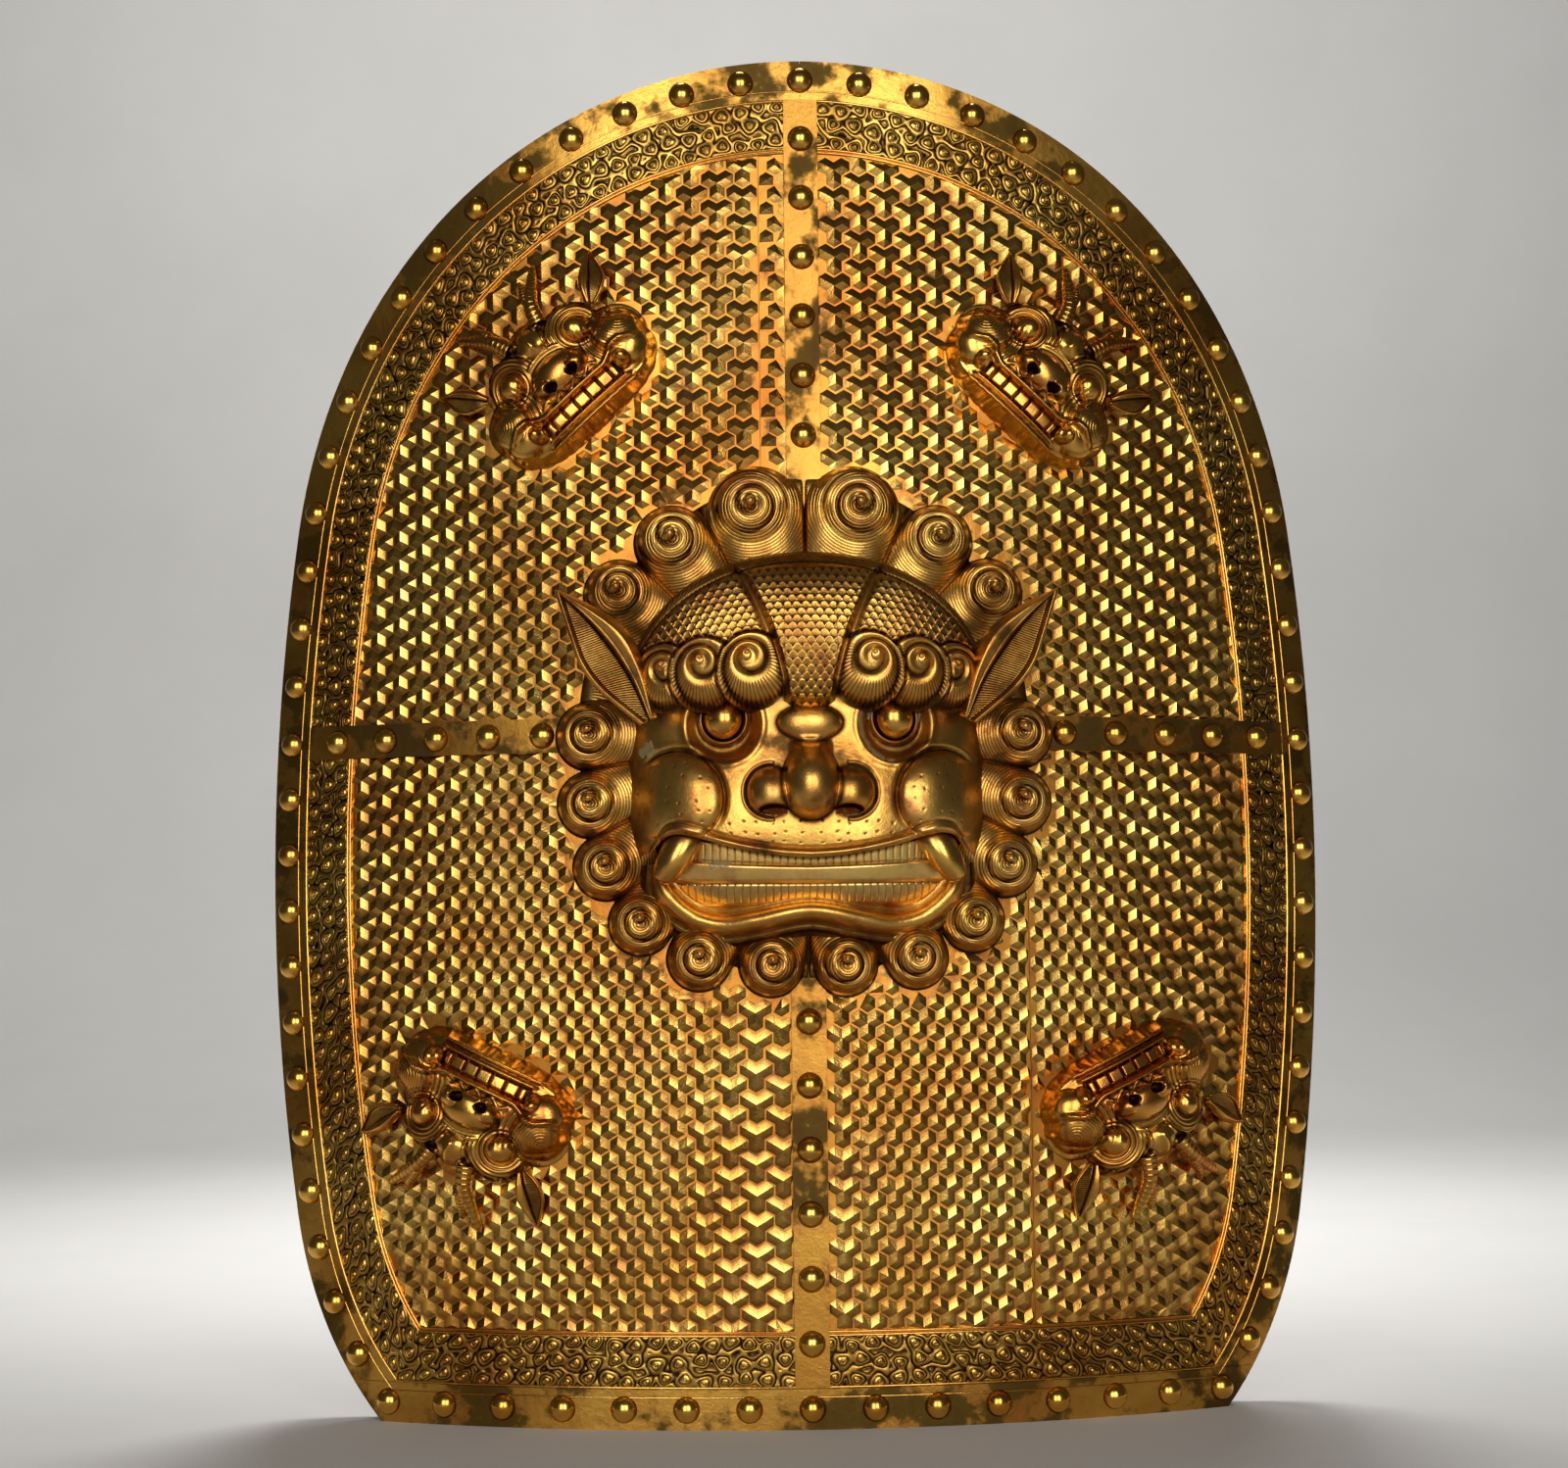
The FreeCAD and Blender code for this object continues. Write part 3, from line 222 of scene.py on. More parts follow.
def quads(rows, columns, ring=False):
    """Faces of a grid, rows upward and columns to the right, or round and closed on the first column."""
    index = np.arange(rows * columns).reshape(rows, columns)
    if ring:
        index = np.concatenate([index, index[:, :1]], axis=1)
    return np.stack([index[:-1, :-1], index[:-1, 1:], index[1:, 1:], index[1:, :-1]], axis=-1).reshape(-1, 4)


def closed_sheet(rows, columns):
    """Faces of a front grid, of a back grid counted after it, and of the wall that joins their edges."""
    index = np.arange(rows * columns).reshape(rows, columns)
    loop = np.concatenate([index[0], index[1:, -1], index[-1, -2::-1], index[-2:0:-1, 0]])
    after = np.roll(loop, -1)
    wall = np.stack([loop, loop + rows * columns, after + rows * columns, after], axis=-1)
    grid = quads(rows, columns)
    return np.concatenate([grid, grid[:, ::-1] + rows * columns, wall])


def make(name, points, faces, finish, slot, nodes=(), body="shield", flat=False, **layers):
    """A piece from points in metres and faces, with its finish, its body and values kept per point."""
    mesh = bpy.data.meshes.new(name)
    points = np.asarray(points, dtype=np.float32).reshape(-1, 3)
    faces = np.asarray(faces, dtype=np.int32)
    mesh.vertices.add(len(points))
    mesh.vertices.foreach_set("co", points.ravel())
    mesh.loops.add(faces.size)
    mesh.loops.foreach_set("vertex_index", faces.ravel())
    mesh.polygons.add(len(faces))
    mesh.polygons.foreach_set("loop_start", np.arange(0, faces.size, faces.shape[1], dtype=np.int32))
    mesh.update(calc_edges=True)
    mesh.validate()
    mesh.polygons.foreach_set("use_smooth", np.full(len(mesh.polygons), not flat))
    for layer, values in layers.items():
        mesh.attributes.new(layer, "FLOAT", "POINT").data.foreach_set(
            "value", np.asarray(values, dtype=np.float32).ravel())
    mesh.materials.append(finish)
    thing = bpy.data.objects.new(name, mesh)
    bpy.context.scene.collection.objects.link(thing)
    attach(thing, body)
    if nodes:
        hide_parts(*nodes)
    return thing


def merged(parts):
    """Points and faces of several (points, faces) pairs as one pair."""
    points, faces, count = [], [], 0
    for some, many in parts:
        some = np.asarray(some).reshape(-1, 3)
        points.append(some)
        faces.append(np.asarray(many) + count)
        count += len(some)
    return np.concatenate(points), np.concatenate(faces)


def outward(points):
    """The direction straight out of the bent sheet at points given in metres."""
    away = points - np.array([0, AXIS * MM, 0])
    away[..., 2] = 0
    return unit(away)


# Finishes

def group_of(name, inputs, outputs):
    """An empty node group with named sockets, and its two ends."""
    group = bpy.data.node_groups.new(name, "ShaderNodeTree")
    for label, kind, value in inputs:
        socket = group.interface.new_socket(label, in_out="INPUT", socket_type="NodeSocket" + kind)
        socket.default_value = value
    for label, kind in outputs:
        group.interface.new_socket(label, in_out="OUTPUT", socket_type="NodeSocket" + kind)
    start = group.nodes.new("NodeGroupInput")
    end = group.nodes.new("NodeGroupOutput")
    return group, start, end


def feed(tree, made, inputs):
    """A node's inputs set or linked, each given by its name or its number."""
    for key, value in inputs.items():
        if isinstance(value, bpy.types.NodeSocket):
            tree.links.new(value, made.inputs[key])
        else:
            made.inputs[key].default_value = value


def node(tree, kind, settings=None, **inputs):
    """A node with its settings, and its inputs fed by name, where _ stands for a space."""
    made = tree.nodes.new(kind)
    for key, value in (settings or {}).items():
        setattr(made, key, value)
    feed(tree, made, {key.replace("_", " "): value for key, value in inputs.items()})
    return made


def maths(tree, operation, first, second=0.5, clamp=False):
    """The result of a Math node."""
    made = node(tree, "ShaderNodeMath", {"operation": operation, "use_clamp": clamp})
    feed(tree, made, {0: first, 1: second})
    return made.outputs[0]


def plus_share(tree, base, value, share, clamp=False):
    """A value plus a share of another."""
    return maths(tree, "ADD", base, maths(tree, "MULTIPLY", value, share), clamp)


def blend_colour(tree, share, first, second):
    """The result of mixing two colours by a share."""
    made = node(tree, "ShaderNodeMix", {"data_type": "RGBA"})
    feed(tree, made, {0: share, 6: first, 7: second})
    return made.outputs[2]


def span(tree, value, low, high, first=0.0, last=1.0):
    """A value's range from low to high stretched to first to last, and held at the ends."""
    return node(tree, "ShaderNodeMapRange", {"clamp": True}, Value=value, From_Min=low, From_Max=high,
                To_Min=first, To_Max=last).outputs[0]


def noise(tree, place, scale, detail, rough=0.55):
    """A Noise Texture's value at a place."""
    made = node(tree, "ShaderNodeTexNoise", None, Vector=place, Scale=scale, Detail=detail, Roughness=rough)
    return made.outputs[0]


def stretched(tree, place, scale, shift=(0.0, 0.0, 0.0)):
    """A place scaled along the three axes and then shifted."""
    return node(tree, "ShaderNodeMapping", None, Vector=place, Location=shift, Scale=scale).outputs[0]


def own_place(tree):
    """The place of a point in its piece's own coordinates."""
    return node(tree, "ShaderNodeTexCoord").outputs["Object"]


def own_value(tree, layer):
    """The value that a piece keeps for each point under a name."""
    return node(tree, "ShaderNodeAttribute", {"attribute_name": layer}).outputs["Fac"]


def linear(red, green, blue):
    """A colour given as it is seen, 0 to 255, in the linear values that the nodes take."""
    values = [value / 255 for value in (red, green, blue)]
    return tuple(v / 12.92 if v <= 0.04045 else ((v + 0.055) / 1.055) ** 2.4 for v in values) + (1.0,)


def new_finish(name):
    """A material, its node tree and its shader."""
    material = bpy.data.materials.new(name)
    material.use_nodes = True
    return material, material.node_tree, material.node_tree.nodes["Principled BSDF"]


def finish_with(tree, shader, colour, rough, height, strength, depth, metal=0.0):
    """A shader's colour, roughness and metal, and a bump whose depth is given in metres."""
    lift = node(tree, "ShaderNodeBump", None, Strength=strength, Distance=depth, Height=height)
    feed(tree, shader, {"Base Color": colour, "Roughness": rough, "Normal": lift.outputs[0], "Metallic": metal})


VERDIGRIS = linear(62, 112, 100)
CHALKY = linear(178, 160, 118)


def gilding_group():
    """Old fire gilding: tones of gold, copper where it is worn, painted shade in dark brown in the hollows, and
    patina.

    Tones follow noise of five sizes. The painted shade is 1 less the relief, plus furrows between strands, which
    are the low side of a cosine of the strand phase, plus a random dark grain. Verdigris and chalky residue lie over
    them.
    """
    # The Hollow colour is the dark brown of painted shade, and of a random dark grain.
    group, start, end = group_of("old_gilding", [
        ("Gold", "Color", linear(220, 170, 80)), ("Deep Gold", "Color", linear(200, 130, 50)),
        ("Copper", "Color", linear(170, 95, 60)), ("Hollow", "Color", linear(60, 34, 14)),
        ("Patina", "Color", linear(92, 88, 40)), ("Relief", "Float", 1.0), ("Copper Share", "Float", 0.3),
        ("Patina Share", "Float", 0.3), ("Verdigris Share", "Float", 0.1), ("Gloss", "Float", 0.25),
        ("Grain", "Float", 0.2), ("Strand", "Float", 0.0), ("Strand Depth", "Float", 0.0), ("Residue", "Float", 0.0)],
        [("Color", "Color"), ("Roughness", "Float"), ("Height", "Float")])
    gold, deep, copper, hollow, patina, relief = start.outputs[:6]
    copper_share, patina_share, green_share, gloss, grain_share, strand, strand_depth, residue = start.outputs[6:14]
    place = own_place(group)
    wave = maths(group, "COSINE", maths(group, "MULTIPLY", strand, 2 * math.pi))
    furrow = maths(group, "MULTIPLY", span(group, wave, 0.1, -0.9), strand_depth)
    broad = noise(group, place, 14.0, 4.0)
    cloudy = noise(group, place, 42.0, 5.0, 0.6)
    grainy = noise(group, place, 260.0, 3.0, 0.6)
    fine = noise(group, place, 900.0, 2.0)
    tone = blend_colour(group, span(group, broad, 0.36, 0.66), gold, deep)
    worn = maths(group, "MULTIPLY", span(group, cloudy, 0.50, 0.66), copper_share, True)
    tone = blend_colour(group, worn, tone, copper)
    uneven = maths(group, "SUBTRACT", grainy, 0.5)
    # Painted shade: the tone goes to the Hollow brown where the relief is low and in the furrows between strands,
    # plus a random dark grain.
    low = maths(group, "SUBTRACT", 1.0, relief, True)
    low = plus_share(group, low, furrow, 0.5, True)
    low = plus_share(group, low, uneven, 0.5, True)
    tone = blend_colour(group, low, tone, hollow)
    patch = plus_share(group, maths(group, "MULTIPLY", cloudy, 0.6), broad, 0.4)
    edge = maths(group, "SUBTRACT", 0.78, maths(group, "MULTIPLY", patina_share, 0.42))
    dull = span(group, patch, edge, maths(group, "ADD", edge, 0.06))
    tone = blend_colour(group, maths(group, "MULTIPLY", dull, 0.85), tone, patina)
    spots = noise(group, place, 9.0, 2.0)
    speck = plus_share(group, maths(group, "MULTIPLY", spots, 0.72), grainy, 0.28)
    green = maths(group, "MULTIPLY", span(group, speck, 0.685, 0.72), green_share, True)
    tone = blend_colour(group, green, tone, VERDIGRIS)
    chalk = span(group, plus_share(group, residue, uneven, 2.2), 0.42, 0.62)
    chalk = maths(group, "MULTIPLY", chalk, span(group, residue, 0.05, 0.3), True)
    tone = blend_colour(group, chalk, tone, CHALKY)
    rough = plus_share(group, gloss, cloudy, 0.16)
    rough = plus_share(group, rough, dull, 0.22)
    rough = plus_share(group, rough, chalk, 0.4)
    rough = plus_share(group, rough, low, 0.14, True)
    height = plus_share(group, maths(group, "MULTIPLY", grainy, 0.7), fine, 0.3)
    height = maths(group, "MULTIPLY", height, grain_share)
    height = maths(group, "SUBTRACT", height, maths(group, "MULTIPLY", furrow, 0.55))
    feed(group, end, {"Color": tone, "Roughness": rough, "Height": height})
    return group


GILDING = gilding_group()


def gilt(name, gold, deep, copper, hollow, patina, shares, gloss, grain=0.25, layer="relief", strands=False,
         foot=None):
    """A gilt metal finish, with painted shade in the hollows read from a piece's own relief values where it has them.

    The shares are those of bare copper, patina and verdigris. Where a foot radius is given, the painted
    shade in dark brown lies within 1.9 mm of that radius about the axis, at the rivet's foot.
    """
    material, tree, shader = new_finish(name)
    skin = node(tree, "ShaderNodeGroup", {"node_tree": GILDING}, Gold=linear(*gold), Deep_Gold=linear(*deep),
                Copper=linear(*copper), Hollow=linear(*hollow), Patina=linear(*patina), Copper_Share=shares[0],
                Patina_Share=shares[1], Verdigris_Share=shares[2], Gloss=gloss, Grain=grain)
    if layer:
        feed(tree, skin, {"Relief": own_value(tree, layer)})
    if strands:
        feed(tree, skin, {"Strand": own_value(tree, "strand"), "Strand Depth": own_value(tree, "strand_depth"),
                          "Residue": own_value(tree, "residue")})
    # Painted shade: a dark ring where the rivet's dome meets its foot.
    if foot:
        flat = stretched(tree, own_place(tree), (1.0, 1.0, 0.0), (0.0, -AXIS * MM, 0.0))
        away = node(tree, "ShaderNodeVectorMath", {"operation": "LENGTH"}, Vector=flat).outputs["Value"]
        feed(tree, skin, {"Relief": span(tree, away, (foot + 0.3) * MM, (foot + 1.9) * MM, 0.1, 1.0)})
    finish_with(tree, shader, skin.outputs["Color"], skin.outputs["Roughness"], skin.outputs["Height"],
                1.0, 0.0006, 1.0)
    return material


# Dark brown of painted shade in the hollows and of a random dark grain, as the hollow colour of the gilt finishes
# below.
SHADE_AND_GRAIN_BROWN = (58, 30, 10)
SHEET_GILT = gilt("chased_gilding", (248, 202, 104), (226, 158, 66), (198, 112, 74), SHADE_AND_GRAIN_BROWN, (104, 98, 44),
                  (0.35, 0.05, 0.25), 0.10)
GROUND_GILT = gilt("sheet_gilding", (214, 152, 62), (176, 104, 40), (160, 84, 50), SHADE_AND_GRAIN_BROWN, (86, 80, 36),
                   (0.6, 0.5, 0.3), 0.30, 0.35, layer=None)
RIM_GILT = gilt("rim_gilding", (228, 176, 78), (182, 120, 50), (150, 82, 52), SHADE_AND_GRAIN_BROWN, (64, 56, 22),
                (0.6, 0.70, 0.2), 0.22, 0.35, layer=None)
STRAP_GILT = gilt("strap_gilding", (204, 150, 62), (174, 112, 48), (160, 88, 58), SHADE_AND_GRAIN_BROWN, (64, 56, 24),
                  (0.7, 0.72, 0.25), 0.26, 0.35, layer=None)
RIM_RIVET_GILT, STRAP_RIVET_GILT = (
    gilt(name, (240, 190, 88), (222, 158, 62), (196, 118, 66), (64, 30, 12), (120, 100, 44),
         (0.2, 0.15, 0.0), 0.14, 0.12, layer=None, foot=foot)
    for name, foot in (("rim_rivet_gilding", RIM_FACE), ("strap_rivet_gilding", STRAP_FACE)))
CLOUD_GILT = gilt("cloud_gilding", (244, 194, 94), (218, 154, 62), (180, 104, 58), (36, 20, 7), (92, 80, 32),
                  (0.4, 0.25, 0.25), 0.16, 0.15, strands=True)
MASK_GILT = gilt("mask_gilding", (240, 190, 96), (208, 144, 62), (172, 96, 54), (60, 25, 8), (96, 74, 34),
                 (0.66, 0.48, 0.3), 0.25, 0.4, strands=True)
EYE_GILT = gilt("eye_gilding", (240, 190, 94), (218, 156, 70), (190, 116, 66), (70, 34, 12), (112, 90, 42),
                (0.3, 0.15, 0.0), 0.16, 0.15)
TEETH_GILT = gilt("teeth_gilding", (248, 208, 122), (228, 172, 92), (184, 116, 76), (60, 30, 12), (120, 96, 52),
                  (0.6, 0.35, 0.0), 0.24, 0.3, strands=True)
HEAD_GILT = gilt("head_gilding", (240, 186, 88), (212, 138, 56), (188, 102, 56), (52, 24, 8), (92, 80, 34),
                 (0.5, 0.2, 0.1), 0.15, 0.2, strands=True)


def plain_finish(name, first, second, scale, rough, metal, bump=0.2):
    """A finish of two tones that drift into each other, with a fine grain."""
    material, tree, shader = new_finish(name)
    place = own_place(tree)
    drift = noise(tree, place, scale, 5.0, 0.6)
    tone = blend_colour(tree, span(tree, drift, 0.35, 0.65), linear(*first), linear(*second))
    grain = noise(tree, place, scale * 12, 3.0)
    gloss = span(tree, grain, 0.2, 0.8, rough - 0.08, rough + 0.1)
    finish_with(tree, shader, tone, gloss, grain, bump, 0.0008, metal)
    return material


def oak_finish(name, light, dark):
    """Wood with its grain upright: rings pulled long, and pores as short dark lines."""
    material, tree, shader = new_finish(name)
    place = own_place(tree)
    rings = noise(tree, stretched(tree, place, (60.0, 60.0, 3.0)), 1.0, 6.0, 0.6)
    pores = noise(tree, stretched(tree, place, (900.0, 900.0, 30.0)), 1.0, 2.0)
    tone = blend_colour(tree, span(tree, rings, 0.3, 0.7), linear(*light), linear(*dark))
    tone = blend_colour(tree, span(tree, pores, 0.56, 0.7, 0.0, 0.6), tone, linear(48, 30, 18))
    finish_with(tree, shader, tone, span(tree, rings, 0.2, 0.8, 0.42, 0.62), pores, 0.3, 0.0006)
    return material


BOARD_WOOD = oak_finish("board_wood", (128, 88, 52), (94, 60, 34))
GRIP_WOOD = oak_finish("grip_wood", (112, 66, 36), (72, 40, 22))
BRASS = plain_finish("aged_brass", (168, 126, 62), (122, 88, 42), 60.0, 0.34, 1.0)
COPPER_FINISH = plain_finish("copper_fixing", (164, 92, 60), (112, 62, 42), 80.0, 0.38, 1.0)
THREAD = plain_finish("waxed_thread", (186, 160, 118), (150, 122, 84), 400.0, 0.7, 0.0, 0.4)


def leather_finish(name, plain, dark, worn):
    """Leather: cells of pebbled grain, pores, dark and worn tones, and paler where it is rubbed."""
    material, tree, shader = new_finish(name)
    place = own_place(tree)
    pebbles = node(tree, "ShaderNodeTexVoronoi", {"feature": "DISTANCE_TO_EDGE"}, Vector=place, Scale=620.0)
    cells = pebbles.outputs["Distance"]
    drift = noise(tree, place, 60.0, 6.0, 0.6)
    fine = noise(tree, place, 300.0, 4.0, 0.6)
    tone = blend_colour(tree, span(tree, drift, 0.34, 0.64), linear(*plain), linear(*dark))
    rubbed = span(tree, plus_share(tree, own_value(tree, "wear"), fine, 0.5), 0.75, 1.25)
    tone = blend_colour(tree, maths(tree, "MULTIPLY", rubbed, 0.6), tone, linear(*worn))
    tone = blend_colour(tree, span(tree, cells, 0.0, 0.14, 0.45, 0.0), tone, linear(30, 17, 11))
    grain = plus_share(tree, span(tree, cells, 0.0, 0.25), drift, 1.6)
    finish_with(tree, shader, tone, span(tree, fine, 0.25, 0.75, 0.44, 0.62), grain, 0.55, 0.0007)
    return material


LEATHER = leather_finish("leather", (132, 78, 38), (92, 52, 24), (166, 112, 62))


# CAD nodes that stay, with their finishes: the last word that a node's name holds gives its finish

KEPT = [("panel", GROUND_GILT), ("rim_", RIM_GILT), ("strap", STRAP_GILT),
        ("strap_rivets", STRAP_RIVET_GILT), ("rim_rivets", RIM_RIVET_GILT), ("burrs", COPPER_FINISH),
        ("mask_pins", COPPER_FINISH), ("head", HEAD_GILT), ("lion", MASK_GILT),
        ("stave", BOARD_WOOD), ("grip_bar", GRIP_WOOD), ("grip_bracket", BRASS), ("grip_rivets", BRASS),
        ("arm_plate", BRASS), ("ring", BRASS), ("arm_strap", LEATHER), ("arm_strap_rivets", BRASS),
        ("leather_lining", LEATHER)]
for label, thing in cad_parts.items():
    chosen = [finish for key, finish in KEPT if key in label]
    finish = BRASS if "ring" in label.split("_") else chosen[-1]
    thing.data.materials.clear()
    thing.data.materials.append(finish)


# Y-shaped tiles

# Distance between tiles one above the other, and between their columns
PITCH = 16.56
COLUMN = PITCH * math.sqrt(3) / 2
TILE_HEIGHT = 1.46
HALF_STRAP = 9.5
# Middle of each beast head from the crossing, across and up, and its lean in degrees
HEADS = [(-143.0, 211.0, 42.0), (143.0, 211.0, -42.0), (-191.0, -218.0, 155.0), (191.0, -218.0, -155.0)]
# Rounds that make up a head's outline on its right half: across, down the face, and radius
HEAD_ROUNDS = [(0.0, -9.0, 19.0), (22.0, -3.0, 17.5), (38.0, 15.0, 18.5), (39.5, 27.0, 14.5), (35.0, 31.5, 14.0),
               (29.0, 34.8, 12.6), (23.0, 36.6, 11.6), (17.0, 37.8, 10.9), (11.0, 38.3, 10.6), (5.0, 38.5, 10.5),
               (0.0, 38.5, 10.5), (0.0, 20.0, 24.0)]
# Curls of the mane on the right half: middle across and up, and the radius of the coiled cone
CURLS = [(27.0, 121.8, 24.8), (74.0, 106.5, 19.4), (103.5, 78.0, 18.4), (120.0, -1.0, 18.0),
         (119.5, -39.0, 17.6), (111.0, -74.0, 17.4), (92.0, -105.0, 17.0), (60.0, -125.0, 16.8),
         (20.5, -128.5, 16.8)]
# A lobe's radius as a share of its cone's, and the ellipse that closes the mane between its lobes
LOBE_SHARE = 1.10
COLLAR_WIDE, COLLAR_HIGH, COLLAR_LOW = 126.5, 142.5, 136.5
COLLAR_MEAN = 130


def open_ground(across, up, near=0.3, far=3.5):
    """0 within a distance near to the outlines of the mask and the heads, and 1 from a distance far on.

    The distance to an outline is the least of the distances to its rounds, each less its radius.
    """
    x, z = np.abs(across), up - CROSSING
    gap = (np.hypot(x / COLLAR_WIDE, z / np.where(z > 0, COLLAR_HIGH, COLLAR_LOW)) - 1) * COLLAR_MEAN
    for cx, cz, radius in CURLS:
        gap = np.minimum(gap, np.hypot(x - cx, z - cz) - radius * LOBE_SHARE)
    share = smooth(near + 1, far + 1, gap)
    for head_x, head_z, turn in HEADS:
        cos, sin = math.cos(math.radians(turn)), math.sin(math.radians(turn))
        r = (across - head_x) * cos + (z - head_z) * sin
        q = (across - head_x) * sin - (z - head_z) * cos
        gap = np.min([np.hypot(np.abs(r) - cr, q - cq) - radius for cr, cq, radius in HEAD_ROUNDS], axis=0)
        share = share * smooth(near, far, gap)
    return share


def tile_shape():
    """Points and triangles of one tile, pointing up on a flat ground.

    Three arms at 30, 150 and 270 degrees. Along an arm lie the ridge's end at a third of the pitch and
    the tip at two thirds. Its shoulders are half a pitch out and a third of a column aside, and the
    notches between arms are a third of the pitch out.
    """
    points = [(0.0, 0.0, 1.0)]
    for arm in (30, 150, 270):
        out = np.array([math.cos(math.radians(arm)), math.sin(math.radians(arm))])
        side = np.array([-out[1], out[0]])
        half = PITCH / (2 * math.sqrt(3))
        notch = math.radians(arm + 60)
        points.append((*(out * PITCH / 3), 1.0))
        points.append((*(out * PITCH / 2 - side * half), 0.0))
        points.append((*(out * PITCH * 2 / 3), 0.0))
        points.append((*(out * PITCH / 2 + side * half), 0.0))
        points.append((math.cos(notch) * PITCH / 3, math.sin(notch) * PITCH / 3, 0.0))
    faces = []
    for arm in range(3):
        ridge, right, tip, left, notch = (1 + 5 * arm + k for k in range(5))
        before = 5 + 5 * ((arm + 2) % 3)
        faces += [(0, before, right), (0, right, ridge), (ridge, right, tip), (ridge, tip, left),
                  (ridge, left, notch), (ridge, notch, 0)]
    return np.array(points), np.array(faces)


def tile_field(name, left, right, low, high, first_across, first_up):
    """Tiles on a staggered lattice, cut straight at a window's sides and at the cloud band's bead.

    Each tile is a little off its place, its height and its size, and each of its points is a little off.
    """
    shape, faces = tile_shape()
    columns = np.arange(math.floor((left - first_across) / COLUMN), math.ceil((right - first_across) / COLUMN) + 1)
    rows = np.arange(math.floor((low - first_up) / PITCH) - 1, math.ceil((high - first_up) / PITCH) + 2)
    column, row = (values.ravel() for values in np.meshgrid(columns, rows))
    across = first_across + column * COLUMN
    up = first_up + row * PITCH + (column % 2) * PITCH / 2
    keep = ((across > left - 4) & (across < right + 4) & (up > low - 5) & (up < high + 5)
            & (inset_of(across, up) > BAND_END - 3) & (open_ground(across, up, -8.0, -7.0) > 0.5))
    across, up = across[keep], up[keep]
    count = len(across)
    across = across + chance.normal(0, 0.16, count)
    up = up + chance.normal(0, 0.16, count)
    tall = TILE_HEIGHT * (1 + np.clip(chance.normal(0, 0.08, count), -0.2, 0.03))
    size = 0.985 + chance.normal(0, 0.004, count)
    x = across[:, None] + shape[None, :, 0] * size[:, None] + chance.normal(0, 0.10, (count, len(shape)))
    z = up[:, None] + shape[None, :, 1] * size[:, None] + chance.normal(0, 0.10, (count, len(shape)))
    x, z = np.clip(x, left, right), np.clip(z, low, high)
    x, z = drawn_in(x, z, BAND_END + 1.2)
    room = np.minimum(inset_of(x, z) - BAND_END, np.minimum(x - left, right - x))
    proud = shape[None, :, 2] * tall[:, None] * smooth(0.3, 1.8, room) * open_ground(x, z)
    proud = proud * np.where(z > CROSSING, smooth(HALF_STRAP, HALF_STRAP + 1.8, np.abs(x)), 1)
    proud = np.where(shape[None, :, 2] > 0, proud, -0.15)
    points = wrap(x, z, proud)
    every = (faces[None] + np.arange(count)[:, None, None] * len(shape)).reshape(-1, 3)
    # Painted shade: each tile is darker towards its foot and in the valleys between tiles.
    relief = 0.28 + 0.72 * np.clip(proud / TILE_HEIGHT, 0, 1)
    make(name, points, every, SHEET_GILT, "gilt_sheet", flat=True, relief=relief)


# Fields of tiles: left and right side, lowest and highest place, and the place of one of the tiles
BEYOND = 330.0
SEAM_GAP = 0.4
OVER, UNDER = CROSSING + HALF_STRAP, CROSSING - HALF_STRAP
TILE_FIELDS = [("upper_left_tiles", -BEYOND, UPPER_SEAM - SEAM_GAP, OVER, HEIGHT, -33.0, 384.0),
               ("upper_right_tiles", UPPER_SEAM + SEAM_GAP, BEYOND, OVER, HEIGHT, -24.4, 391.0),
               ("lower_left_tiles", -BEYOND, -HALF_STRAP, 0.0, UNDER, -15.0, 366.0),
               ("lower_middle_tiles", HALF_STRAP, LOWER_SEAM - SEAM_GAP, 0.0, UNDER, 18.0, 360.0),
               ("lower_right_tiles", LOWER_SEAM + SEAM_GAP, BEYOND, 0.0, UNDER, 133.0, 364.0)]
for field in TILE_FIELDS:
    tile_field(*field)


# Cloud band and bead lines

# Distance between points of the band's grid, between chased lines, and between curls in a row
CLOUD_STEP = 0.85
CLOUD_LINE = 1.45
CURL_GAP = 11.5


def cloud_relief(along, inward):
    """Height, painted shade of the hollows, and strand phase of the cloud scrolls.

    Eyes lie in three staggered rows. The field is the soft least of the distances to the eyes near a
    place, each stretched by a lobed factor. Its level lines, one every CLOUD_LINE, are the chased
    lines: rings about an eye, and flowing lines between eyes.
    """
    width = BAND_END - RIM_WIDTH
    total = 0
    for row, across_share in enumerate((0.17, 0.50, 0.83)):
        first = np.round(along / CURL_GAP - row * 0.5)
        for step in (-2, -1, 0, 1, 2):
            key = first + step
            jitter_a = np.sin(key * 12.9898 + row * 78.2) * 2.2
            jitter_b = np.sin(key * 39.346 + row * 11.1) * 1.5
            size = 1 + 0.22 * np.sin(key * 7.7 + row * 3.1)
            dx = along - (key + row * 0.5) * CURL_GAP - jitter_a
            dy = inward - width * across_share - jitter_b
            angle = np.arctan2(dy, dx)
            away = np.hypot(dx * 0.86, dy) * size * (1 + 0.10 * np.sin(3 * angle + key * 2.1 + row))
            total = total + np.exp(-away / 1.1)
    field = -1.1 * np.log(total)
    edge = smooth(0.0, 1.4, inward) * smooth(0.0, 1.4, width - inward)
    swell = np.exp(-(field / 2.6) ** 2) + 0.45 * line_at(field - 4.6, 1.1)
    height = (0.2 + 1.9 * swell) * edge
    # Painted shade: darker where the scrolls are low and at the band's two edges.
    relief = np.clip(0.10 + 0.90 * np.clip(swell * 1.3, 0, 1) * edge, 0, 1)
    return height, relief, field / CLOUD_LINE, edge


